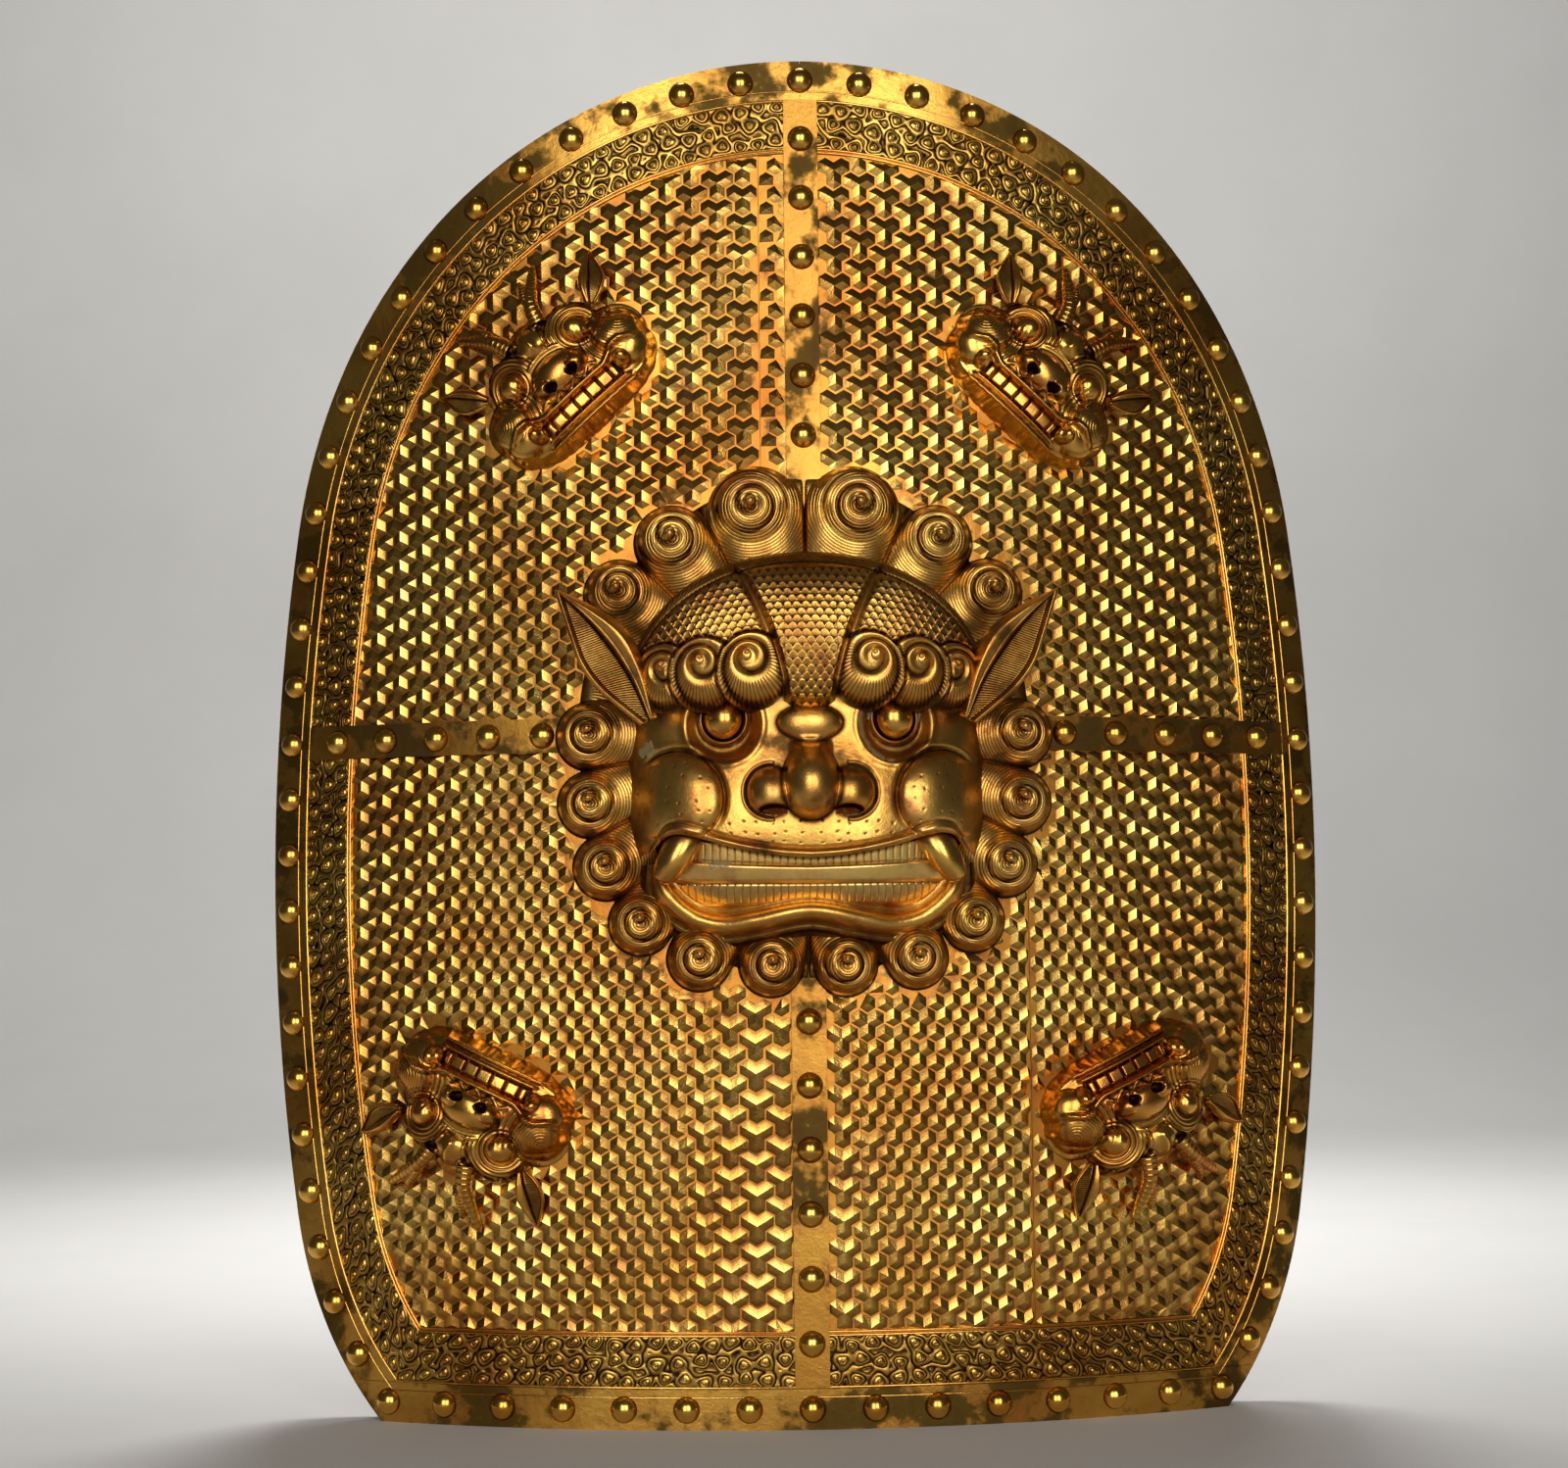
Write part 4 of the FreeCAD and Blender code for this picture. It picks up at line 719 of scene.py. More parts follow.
def cloud_run(name, first, last, mirror):
    """The part of the band between two shares of the right edge's length, or its mirror image.

    Both edges of the band are walked with the same number of points, the corner keeps its place on
    both, and each row runs straight from one to the other.
    """
    outer = edge_line(RIM_WIDTH - 0.5, 0.5)
    inner = edge_line(BAND_END, 0.5)
    gone, corners = [], []
    for line in (outer, inner):
        gone.append(np.concatenate([[0], np.cumsum(np.linalg.norm(np.diff(line, axis=0), axis=1))]))
        level = line[:, 1] <= line[0, 1] + 1e-6
        corners.append(gone[-1][np.argmax(line[:, 0] >= 0.9999 * line[level, 0].max())] / gone[-1][-1])
    length = gone[0][-1]
    shares = np.linspace(first, last, int((last - first) * length / CLOUD_STEP))
    inner_shares = np.interp(shares, [0, corners[0], 1], [0, corners[1], 1])
    start, stop = (np.stack([np.interp(at * walk[-1], walk, line[:, k]) for k in range(2)], axis=-1)
                   for line, walk, at in ((outer, gone[0], shares), (inner, gone[1], inner_shares)))
    share = np.linspace(0, 1, int((BAND_END - RIM_WIDTH) / CLOUD_STEP))
    flat = start[:, None, :] * (1 - share[None, :, None]) + stop[:, None, :] * share[None, :, None]
    along = shares[:, None] * length * mirror + 0 * share[None, :]
    inward = share[None, :] * (BAND_END - RIM_WIDTH) + 0 * shares[:, None]
    height, relief, strand, depth = cloud_relief(along, inward)
    height[:, [0, -1]] = -0.2
    faces = quads(len(shares), len(share))
    if mirror > 0:
        faces = faces[:, ::-1]
    make(name, wrap(mirror * flat[..., 0], flat[..., 1], height), faces, CLOUD_GILT, "gilt_sheet",
         relief=relief, strand=strand, strand_depth=depth)


for mirror, side in SIDES:
    cloud_run("cloud_band_lower_" + side, 0.0, 0.30, mirror)
    cloud_run("cloud_band_side_" + side, 0.30, 0.62, mirror)
    cloud_run("cloud_band_upper_" + side, 0.62, 1.0, mirror)


def bead(inset, half_width, height, seat):
    """A rounded line that follows the whole edge at an inset: half a circle carried along it."""
    steps = 7
    half = edge_line(inset, 2.5)
    flat = np.concatenate([half, (half * (-1, 1))[::-1][1:-1]])
    path = wrap(flat[:, 0], flat[:, 1], np.full(len(flat), seat))
    normal = outward(path)
    side = unit(np.cross(np.roll(path, -1, axis=0) - np.roll(path, 1, axis=0), normal))
    angle = np.linspace(0, math.pi, steps)
    points = (path[:, None] + side[:, None] * (half_width * np.cos(angle))[None, :, None] * MM
              + normal[:, None] * (height * np.sin(angle) - 0.1)[None, :, None] * MM)
    index = np.arange(len(flat) * steps).reshape(len(flat), steps)
    index = np.concatenate([index, index[:1]])
    faces = np.stack([index[1:, :-1], index[1:, 1:], index[:-1, 1:], index[:-1, :-1]], axis=-1).reshape(-1, 4)
    return points, faces


def beads():
    """The lines along the edge: a fine one on the rim, one beside it, and a pair where the tiles begin."""
    points, faces = merged([bead(RIM_WIDTH - 4.6, 0.5, 0.55, RIM_FACE - SHEET), bead(RIM_WIDTH + 0.7, 1.0, 1.9, 0),
                            bead(BAND_END - 0.7, 0.8, 1.3, 0), bead(BAND_END + 1.3, 0.8, 1.5, 0)])
    make("band_beads", points, faces, SHEET_GILT, "gilt_sheet", relief=np.full(len(points), 0.95))


beads()


# Lion mask: places from the crossing of the straps, x to the right and z up, heights proud of the sheet

def coiled(x, z, cx, cz, radius, hand, start, turns, lean):
    """A coiled curl: share q of the radius from its middle, and how far a point is through its coil.

    The middle leans aside the more the nearer it is. The coil is what is left, after whole steps, of
    turns times (1 - q to the power 0.75) plus the angle from the start as a share of a turn.
    """
    dx, dz = x - cx, z - cz
    q = np.hypot(dx, dz) / radius
    for _ in range(12):
        inner = np.clip(1 - q, 0, 1)
        q = np.hypot(dx - inner * lean[0], dz - inner * lean[1]) / radius
    inner = np.clip(1 - q, 0, 1)
    angle = np.arctan2(dz - inner * lean[1], (dx - inner * lean[0]) * hand) - start
    coil = np.mod(turns * (1 - np.clip(q, 0, 1) ** 0.75) + angle / (2 * math.pi), 1.0)
    return q, coil


def coil_lift(coil):
    """A coil's rounded step: it swells inward from its outer groove and drops into the next one."""
    return np.clip(np.sin(math.pi * np.clip(coil, 0, 1) ** 0.8), 0, 1) ** 0.6


HAIR = 1.6
# Curls higher than this have their coil farther out and up from the lobe's middle, with a radius of its own
TOP_LOCKS = 110
TOP_COIL_OUT, TOP_COIL_UP, TOP_COIL_RADIUS = 3.2, 2.0, 19.8
# Curls higher than this coil the other way from the ones below
UPPER_LOCKS = 20


def mane_outline(angle):
    """The farthest reach of any lobe, or of the collar's ellipse, in a direction from the crossing."""
    ex, ez = np.cos(angle), np.sin(angle)
    reach = 1 / np.hypot(ex / COLLAR_WIDE, ez / np.where(ez > 0, COLLAR_HIGH, COLLAR_LOW))
    for cx, cz, radius in CURLS:
        for side in (1, -1):
            along = side * cx * ex + cz * ez
            inside = (radius * LOBE_SHARE) ** 2 - (cx * cx + cz * cz - along ** 2)
            far = along + np.sqrt(np.maximum(inside, 0))
            reach = np.maximum(reach, np.where((inside > 0) & (along > 0), far, 0))
    return reach


def mane_relief(x, z, edge):
    """Height, painted shade of the hollows, strand phase and strand depth of the mane; edge is the distance from its
    outline.

    A lock is a rounded bar from its curl's middle inward, and a point belongs to the lock it lies
    highest on. A cone with a coil stands on each lock, set off by a groove. The strands are circles
    about the curl's middle.
    """
    none = -1e9
    best, second = np.full(x.shape, none), np.full(x.shape, none)
    own = {key: np.zeros(x.shape) for key in ("q", "coil", "away", "ring")}
    for cx, cz, radius in [(side * cx, cz, radius) for cx, cz, radius in CURLS for side in (1, -1)]:
        wide = radius * LOBE_SHARE
        size = math.hypot(cx, cz)
        ux, uz = -cx / size, -cz / size
        along = np.clip((x - cx) * ux + (z - cz) * uz, 0, 45)
        apart = np.hypot(x - cx - ux * along, z - cz - uz * along)
        lock = 1 - (apart / wide) ** 2 - 0.004 * along
        way, start = (1, 0.4) if cz > UPPER_LOCKS else (-1, 2.2)
        hand = way * math.copysign(1, cx)
        if cz > TOP_LOCKS:
            cx, cz, radius = cx + math.copysign(TOP_COIL_OUT, cx), cz + TOP_COIL_UP, TOP_COIL_RADIUS
        lean = 0.20 * radius
        q, coil = coiled(x, z, cx, cz, radius, hand, start, 2.0, (-ux * lean * 0.6, lean * 0.9))
        away = np.hypot(x - cx, z - cz)
        ring = smooth(0.7, -0.2, ((x - cx) * ux + (z - cz) * uz) / np.maximum(away, 1e-6))
        higher = lock > best
        second = np.where(higher, best, np.maximum(second, lock))
        for key, values in (("q", q), ("coil", coil), ("away", away), ("ring", ring)):
            own[key] = np.where(higher, values, own[key])
        best = np.where(higher, lock, best)
    q, coil, ring = own["q"], own["coil"], own["ring"]
    body = 5.0 + 11.0 * np.sqrt(np.clip(best, 0, 1)) - 3.5 * smooth(1.0, 2.7, q)
    on = smooth(1.02, 0.95, q)
    open_side = 1 - (1 - ring) * smooth(0.60, 0.95, q)
    cone = 5.0 * np.clip(1 - q, 0, 1) ** 0.8 + 3.6 * coil_lift(coil) * np.clip(q * 2.4, 0.5, 1) * open_side
    height = body + on * cone
    knob = dome(q, 0 * q, 0, 0, 0.17, 1)
    moat = line_at(q - 1.05, 0.045) * ring
    height = height + 1.6 * knob + 0.9 * line_at(q - 0.96, 0.045) * ring - 1.3 * moat
    part = np.clip((best - second) / 0.30, 0, 1)
    groove = (1 - part) ** 2.5
    height = height - 3.2 * groove
    roll = rolled(edge, 8.0)
    height = height * roll
    step = line_at(coil, 0.11) + line_at(coil - 1.0, 0.11)
    # Painted shade: darker in the coils' steps, in the moats, in the grooves between locks, where no lock stands high
    # and towards the rolled edge.
    relief = 1 - 0.95 * step * on * (q > 0.10) * open_side - 0.75 * moat - 0.9 * groove - 0.6 * (1 - roll)
    relief = relief - 0.5 * smooth(0.2, -0.2, best)
    strand = own["away"] / HAIR
    depth = 0.8 * smooth(4.0, 9.0, edge) * (1 - 0.8 * knob) * (1 - groove)
    return height, np.clip(relief, 0, 1), strand, depth


def mane_half(name, side):
    """Half of the mane on a fan of rays from the crossing, from under the face out to the lobed edge."""
    rays, rings = 640, 140
    angle = np.linspace(-math.pi / 2, math.pi / 2, rays)
    outer = mane_outline(angle)
    inner = 1 / np.hypot(np.cos(angle) / 80.0, np.sin(angle) / np.where(angle > 0, 76.0, 90.0))
    share = np.linspace(0, 1, rings)
    share = share + 0.22 * share * (1 - share)
    reach = inner[None, :] + (outer - inner)[None, :] * share[:, None]
    x, z = reach * np.cos(angle), reach * np.sin(angle)
    slant = np.abs(np.gradient(outer, angle)) / outer
    edge = (outer[None, :] - reach) / np.hypot(1, slant)[None, :]
    height, relief, strand, depth = mane_relief(x, z, edge)
    height[-1] = -0.4
    # Painted shade: darker at the inner end of each ray, under the face.
    relief = relief * (0.45 + 0.55 * smooth(0.02, 0.32, share))[:, None]
    faces = quads(rings, rays)
    if side > 0:
        faces = faces[:, ::-1]
    made = make(name, plan(side * x, z, height), faces, MASK_GILT, "gilt_mask", relief=relief, strand=strand,
                strand_depth=depth)
    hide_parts("lion_mane")


mane_half("mane_left", -1)
mane_half("mane_right", 1)


# Brow

# How far down the features of the mask are drawn, by their height from the crossing
DRAWN_AT = [-130, -115, -97, -80, -64.5, -48, -30, -22, -8, 7, 15, 35, 60, 80, 100, 120]
DRAWN_BY = [0.0, 0.0, 1.5, 4.0, 6.5, 10.0, 10.3, 9.0, 8.0, 6.5, 6.0, 4.5, 2.5, 1.2, 0.0, 0.0]


def lowered(x, up, proud):
    """The plan, with heights from the crossing less what straight runs through DRAWN_BY give there."""
    return plan(x, up - np.interp(up, DRAWN_AT, DRAWN_BY), proud)


# Half the brow's width, and how high its ends are
BROW_HALF = 97.0
BROW_ENDS = 36.0
# Eyebrow curls on the right half: middle, radius, and how far the coil's own middle leans from it
BROW_CURLS = [(31.0, 33.0, 19.5, 4.5, 9.5), (57.5, 32.0, 18.5, 3.0, 8.5), (78.5, 31.0, 17.0, 2.0, 7.5)]


def brow_low(x):
    """The brow's lower edge: the curls' bottoms and the tongue between the eyes, rising at the ends."""
    x = np.abs(x)
    low = np.full(x.shape, BROW_ENDS)
    for cx, cz, radius, _, _ in BROW_CURLS:
        bottom = cz - np.sqrt(np.maximum(radius ** 2 - (x - cx) ** 2, 0))
        low = np.minimum(low, np.where(np.abs(x - cx) < radius, bottom, BROW_ENDS))
    return np.minimum(low, np.where(x < 14, 14.5 + 0.022 * x ** 2, BROW_ENDS))


def brow_high(x):
    """The brow's upper edge: a flat arch from end to end over the forehead."""
    return BROW_ENDS + 0.5 + 61.5 * np.maximum(1 - (np.abs(x) / BROW_HALF) ** 2.1, 0) ** 0.61


def brow_form(x, z):
    """The brow's bulge: a superellipse across, deepest low down, and lower towards the crown."""
    share = (z - 12) / 88
    depth = through([-0.1, 0.0, 0.12, 0.3, 0.6, 0.82, 0.95, 1.05], [38, 45, 52, 56, 53, 43, 31, 20], share)
    wide = through([-0.1, 0.3, 0.6, 0.82, 1.0, 1.05], [99, 100, 93, 82, 68, 62], share)
    across = np.maximum(1 - np.abs(np.clip(x / wide, -1, 1)) ** 2.7, 0) ** (1 / 2.7)
    return 11 + (depth - 11) * across


def fish_scales(across, up, width, row):
    """Overlapping scales with their free edges up: each is highest at its edge and falls away below."""
    level = up / row
    index = np.floor(level)
    part = level - index

    def arc(shift):
        a = np.mod(across / width + 0.5 * np.mod(index + shift, 2), 1.0) - 0.5
        return 1 - 0.85 * (1 - np.sqrt(np.maximum(1 - (2 * a) ** 2, 0)))

    own, over = arc(0), arc(1)
    depth = np.where(part < own, own - part, over + 1 - part)
    return np.exp(-1.5 * depth), np.clip(depth, 0, 1.5)


def brow_relief(x, z):
    """Height, painted shade of the hollows, strand phase and strand depth of the scaled brow and its six curls.

    A curved channel on each side parts the tongue in the middle from the side fields. A curl is a
    nest of circles that lean towards its own middle, with a coiled step through them. Its outer turn
    carries fine hatching that radiates from that middle. Each curl lies over the one outside it.
    """
    ax = np.abs(x)
    low, high = brow_low(x), brow_high(x)
    border = smooth(7.0, 11.0, high - z)
    apart = ax - (12.3 + 20.0 * np.clip((z - 16) / 62, 0, 1.3) ** 1.6)
    curl, lift, dark, hatch, hatched = (np.zeros(x.shape) for _ in range(5))
    for cx, cz, radius, lean_x, lean_z in reversed(BROW_CURLS):
        q, coil = coiled(ax, z, cx, cz, radius, -1, -0.6, 2.1, (lean_x, lean_z))
        on = smooth(1.0, 0.95, q) * smooth(0.4, 2.0, apart)
        step = (line_at(coil, 0.13) + line_at(coil - 1.0, 0.13)) * (q > 0.09)
        rise = 1.4 + 2.2 * np.sqrt(np.clip(1 - q ** 2, 0, 1)) + 3.4 * coil_lift(coil) * np.clip(q * 2.4, 0.55, 1)
        rise = rise + 1.7 * dome(q, 0 * q, 0, 0, 0.15, 1)
        fan = smooth(0.50, 0.58, q) * smooth(0.98, 0.92, q) * smooth(cz + lean_z + 7, cz + lean_z - 2, z)
        edge = line_at((q - 1.03) * radius, 0.9) * (apart > 0.5)
        lift = lift * (1 - on) + on * rise - 1.3 * edge
        dark = np.maximum(dark * (1 - on) + on * step * 0.95, 0.95 * edge)
        hatch = np.where(on > 0.5, np.arctan2(ax - cx - lean_x, cz + lean_z - z) * 64 / (2 * math.pi), hatch)
        hatched = hatched * (1 - on) + on * fan
        curl = np.maximum(curl, on)
    plain = (1 - curl) * border
    scale, deep = fish_scales(x, z + 0.0016 * x ** 2, 4.9, 3.6)
    tongue = smooth(0.0, -2.5, apart)
    channel = line_at(apart - 1.6, 2.2) * smooth(92, 84, z)
    scaly = plain * (1 - np.clip(channel * 1.3, 0, 1))
    height = brow_form(x, z) + 3.0 * tongue * border + 1.0 * scale * scaly - 2.0 * channel * (1 - 0.5 * curl) + lift
    rim_line = line_at(high - z - 7.5, 0.8) * (1 - curl)
    height = height - 0.7 * rim_line
    # Painted shade, with dark from the curls above: darker in the coils' steps, along each curl's edge, under the
    # scales' free edges, in the channels, along the line below the upper edge, near that edge and where the brow
    # rolls down.
    relief = 1 - 0.95 * np.clip(deep - 0.15, 0, 1) * scaly - 0.6 * channel - dark
    relief = relief - 0.35 * rim_line - 0.5 * (1 - border)
    strand = np.where(curl > 0.5, hatch, ax / HAIR + z / 3)
    depth = np.where(curl > 0.5, 0.95 * hatched, 0.4 * (1 - border))
    roll = rolled(np.minimum(z - low, (high - z) * 1.6), 6.0)
    height = height - (1 - roll) * (11.0 + 5 * smooth(60, 20, z))
    return height, np.clip(relief - 0.45 * (1 - roll), 0, 1), strand, depth


def brow():
    """The scaled cap on a grid between its lower and upper edges, with a wall down to the face."""
    columns, rows = 440, 210
    x = np.linspace(-BROW_HALF + 0.3, BROW_HALF - 0.3, columns)[None, :]
    share = np.linspace(0, 1, rows)[:, None]
    low, high = brow_low(x), brow_high(x)
    z = low + (high - low) * share
    x = x + 0 * z
    height, relief, strand, depth = brow_relief(x, z)
    height = np.concatenate([height[:1] - 16, height[:1] - 5, height, height[-1:] - 14])
    x, z, relief, strand, depth = (np.concatenate([values[:1], values[:1], values, values[-1:]])
                                   for values in (x, z, relief, strand, depth))
    z[0] += 3.0
    z[1] += 0.6
    # Painted shade on the wall down to the face, under the brow.
    relief[:2] = 0.1
    made = make("brow", lowered(x, z, np.maximum(height, 1.0)), quads(*x.shape), MASK_GILT, "gilt_mask",
                relief=relief, strand=strand, strand_depth=depth)
    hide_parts("lion_brow")


brow()


# Face

# The upper lip's edge on the right half, and the face's half width by height
LIP_X = [0, 17, 34, 50, 62, 72, 79, 85, 91, 98]
LIP_Z = [-64.5, -63.0, -59.5, -54.5, -50.0, -48.0, -50.5, -60.0, -74.0, -82.0]
FACE_STOPS = [-108, -87, -70, -53, -21, 4, 24, 30]
FACE_WIDTH = [52, 82, 92, 97, 99, 98, 94, 92]
# Features on the right half: middle across and up, half width and half height
CHEEK = (72.0, -29.0, 25.0, 24.0)
BRIDGE = (0.0, 8.5, 18.0, 9.5)
NOSE_TIP = (0.0, -21.5, 16.0, 19.5)
NOSE_WING = (21.5, -26.0, 13.0, 12.5)
NOSTRIL = (20.5, -35.0, 8.0, 3.2)
EYE_ACROSS, LID_UP, SOCKET_UP = 46.5, 11.0, 8.0


def face_form(x, z):
    """The face's bulge: a superellipse across, whose width and depth change from brow to chin."""
    depth = through([-108, -87, -53, -21, 4, 24, 30], [24, 38, 46, 45, 39, 38, 36], z)
    wide = through(FACE_STOPS, FACE_WIDTH, z)
    across = np.maximum(1 - np.abs(np.clip(x / wide, -1, 1)) ** 2.4, 0) ** (1 / 2.4)
    return depth * across


def face_relief(x, z, lip, wide):
    """Height, painted shade of the hollows, and residue of the face: sockets, cheeks, nose, nostrils, upper lip and
    pits.

    Each feature is a dome on an ellipse, with a line of painted shade round its foot. The pits stand in rows.
    """
    ax = np.abs(x)
    height = face_form(x, z)
    # Relief carries painted shade: darker in the eye's bowl and rings, along the cheek's crease, towards the face's
    # sides and its top under the brow, round the bridge, nose and wings, in the nostrils, in the groove above the lip
    # and in the pits.
    relief = np.full(x.shape, 0.95)
    eye = np.hypot(ax - EYE_ACROSS, (z - LID_UP) * 1.04)
    socket = np.hypot(ax - EYE_ACROSS, (z - SOCKET_UP) * 1.05)
    bowl = smooth(20.5, 14.0, socket)
    height = height - 6.0 * bowl + 1.2 * line_at(socket - 21.5, 2.0) + 2.6 * line_at(eye - 12.4, 1.1)
    relief = relief - 0.5 * bowl - 0.55 * line_at(socket - 20.0, 0.9)
    relief = relief - 0.5 * line_at(eye - 14.6, 0.8) - 0.8 * line_at(eye - 10.2, 0.9)
    cheek = oval(ax, z, *CHEEK)
    fade = smooth(1.0, 0.80, ax / wide)
    swell = np.sqrt(np.maximum(1 - cheek ** 2, 0)) * fade
    shown = smooth(-46, -34, z) * smooth(92, 84, ax)
    height = height + 9.5 * swell - 1.6 * line_at((cheek - 1.03) * 24, 1.5) * shown
    relief = relief - 0.85 * line_at((cheek - 1.02) * 24, 1.7) * shown
    relief = relief - 0.6 * smooth(0.86, 0.99, ax / wide) - 0.5 * smooth(20, 26, z)
    height = height + 0.6 * line_at((cheek - 1.16) * 24, 1.6) * smooth(-20, -8, z)
    height = height + 8.5 * dome(x, z, *BRIDGE)
    relief = relief - 0.8 * line_at((oval(x, z, *BRIDGE) - 1.03) * 12, 1.0)
    spine = smooth(13.0, 4.0, ax) * smooth(3, -5, z) * smooth(-36, -20, z)
    tip = dome(x, z, *NOSE_TIP)
    hole = dome(ax, z, *NOSTRIL, 0.6)
    nose = soft_max(23.0 * tip, 12.0 * spine, 4.0)
    wings = 13.5 * dome(ax, z, *NOSE_WING) - 10.0 * hole
    height = height + np.maximum(nose, wings)
    wing_edge = (oval(ax, z, *NOSE_WING) - 1.05) * 13.5
    relief = relief - 0.9 * line_at((oval(x, z, *NOSE_TIP) - 1.03) * 17, 1.6) * (z < -14)
    relief = relief - 0.9 * line_at(wing_edge, 1.8) * (ax > 13)
    relief = relief - 1.0 * smooth(0.1, 0.5, hole) * (tip <= 0.2)
    height = height - 1.0 * line_at(wing_edge - 1.5, 1.0) * (ax > 20)
    above = z - lip
    height = height + 2.6 * line_at(above - 2.6, 2.6) - 0.9 * line_at(above - 7.0, 0.8)
    relief = relief - 0.6 * line_at(above - 7.0, 0.7)
    row_gap, pit_gap = 6.0, 7.6
    row = np.round(z / row_gap)
    shift = 2.1 * np.sin(row * 5.3)
    column = np.round((ax + shift) / pit_gap)
    pit = np.hypot(ax + shift - column * pit_gap - 0.9 * np.sin(column * 3.7),
                   z - row * row_gap - 0.8 * np.sin(column * 8.1 + row))
    chin = smooth(-36, -42, z) * smooth(3, 6, above) * smooth(68, 60, ax)
    rare = (np.sin(column * 5.1 + row * 2.3 + np.sign(x)) > -0.4) * smooth(0.95, 0.8, cheek)
    pits = line_at(pit, 0.62) * np.maximum(chin, 0.8 * rare)
    height = height - 0.5 * pits + 0.35 * waver(x, z, 17.0, 3)
    chalk = (line_at(socket - 19.0, 1.6) * smooth(52, 40, x) + line_at(eye - 13.5, 1.5) * smooth(6, 12, z)) * (x > 20)
    chalk = np.clip(0.8 * chalk + 0.8 * dome(x, z, -88, -3, 6, 5), 0, 1)
    return height, np.clip(relief - 0.8 * pits, 0, 1), chalk


def face():
    """The face from under the brow down to the upper lip, whose edge turns back into the mouth.

    The grid's sides follow the face's own width, where its bulge comes down to nothing in the mane.
    """
    columns, rows = 400, 200
    share = np.linspace(-1, 1, columns)[None, :]
    share = share * (1.12 - 0.12 * share ** 2)
    level = np.linspace(0, 1, rows)[:, None]
    x = 97.0 * share + 0 * level
    for _ in range(2):
        lip = through(LIP_X, LIP_Z, np.abs(x))
        z = lip + (28.0 - lip) * level
        wide = through(FACE_STOPS, FACE_WIDTH, z)
        x = (wide + 0.2) * share
    lip = through(LIP_X, LIP_Z, np.abs(x))
    height, relief, chalk = face_relief(x, z, lip, wide)
    # Painted shade: the three rows that turn back into the mouth get darker and darker.
    for up, back, dark in ((0.9, -3.0, 0.3), (2.2, -6.5, 0.15), (4.0, -12.0, 0.05)):
        x, z = np.concatenate([x[:1], x]), np.concatenate([z[:1] + up, z])
        height = np.concatenate([height[:1] + back, height])
        relief = np.concatenate([np.full((1, columns), dark), relief])
        chalk = np.concatenate([chalk[:1], chalk])
    none = np.zeros(x.shape)
    made = make("face", lowered(x, z, np.maximum(height, 0.5)), quads(*x.shape), MASK_GILT, "gilt_mask",
                relief=relief, strand=none, strand_depth=none, residue=chalk)
    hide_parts("lion_face")


face()

# The lower lip from its middle to the right corner of the mouth, and its whole line
LOWER_LIP = [(0.0, -97.5), (29.0, -103.0), (46.0, -105.5), (60.0, -102.5), (70.0, -96.0), (77.5, -87.0),
             (81.0, -77.0), (81.5, -67.0)]
JAW_LINE = [(-x, z) for x, z in LOWER_LIP[:0:-1]] + LOWER_LIP
# The lip's section from inside the mouth outward: how far in or out, and how proud
LIP_SECTION = np.array([(-15.0, -16.0), (-12.0, -10.5), (-10.0, -8.0), (-8.0, -7.6), (-6.6, -5.8), (-5.6, -2.2),
                        (-4.4, 1.4), (-2.4, 3.6), (0.0, 4.4), (2.4, 3.6), (4.3, 1.6), (5.6, -1.2), (7.0, -2.6),
                        (9.0, -3.4), (11.5, -6.0), (14.0, -11.0), (16.0, -18.0), (17.5, -26.0)])


def jaw():
    """The lower lip and the sides of the jaw: a rolled profile carried round the open mouth.

    The profile runs from inside the mouth, through a channel, over the lip's roll and down outside
    it to the mane. The roll is lower at the two ends.
    """
    count, columns = 340, 90
    cx, cz = smooth_run(JAW_LINE, np.linspace(0, len(JAW_LINE) - 1, count)).T
    dx, dz = np.gradient(cx), np.gradient(cz)
    size = np.hypot(dx, dz)
    out_x, out_z = dz / size, -dx / size
    across, lift = smooth_run(LIP_SECTION, np.linspace(0, len(LIP_SECTION) - 1, columns)).T
    side = smooth(-90, -70, cz)
    width = (1 - 0.35 * side)[:, None]
    x = cx[:, None] + out_x[:, None] * -across[None, :] * width
    z = cz[:, None] + out_z[:, None] * -across[None, :] * width
    middle = face_form(cx * 0.93, cz * 0.93) * 0.86
    height = middle[:, None] + lift[None, :] * (1 - 0.55 * side[:, None]) - 3.0 * side[:, None]
    # Painted shade: darker in the channel inside the lip, into the mouth, in the groove outside the roll and down
    # towards the mane.
    bright = 1.0 - 0.85 * line_at(across + 9.0, 2.6) - 0.8 * smooth(-10, -12, across)
    bright = bright - 0.5 * line_at(across - 7.4, 1.2) - 0.45 * smooth(9, 14, across)
    relief = np.clip(bright[None, :] + 0 * height, 0, 1)
    none = np.zeros(x.shape)
    make("jaw", lowered(x, z, np.maximum(height, 0.5)), quads(count, columns)[:, ::-1], MASK_GILT, "gilt_mask",
         relief=relief, strand=none, strand_depth=none)


jaw()


TOOTH = 4.1


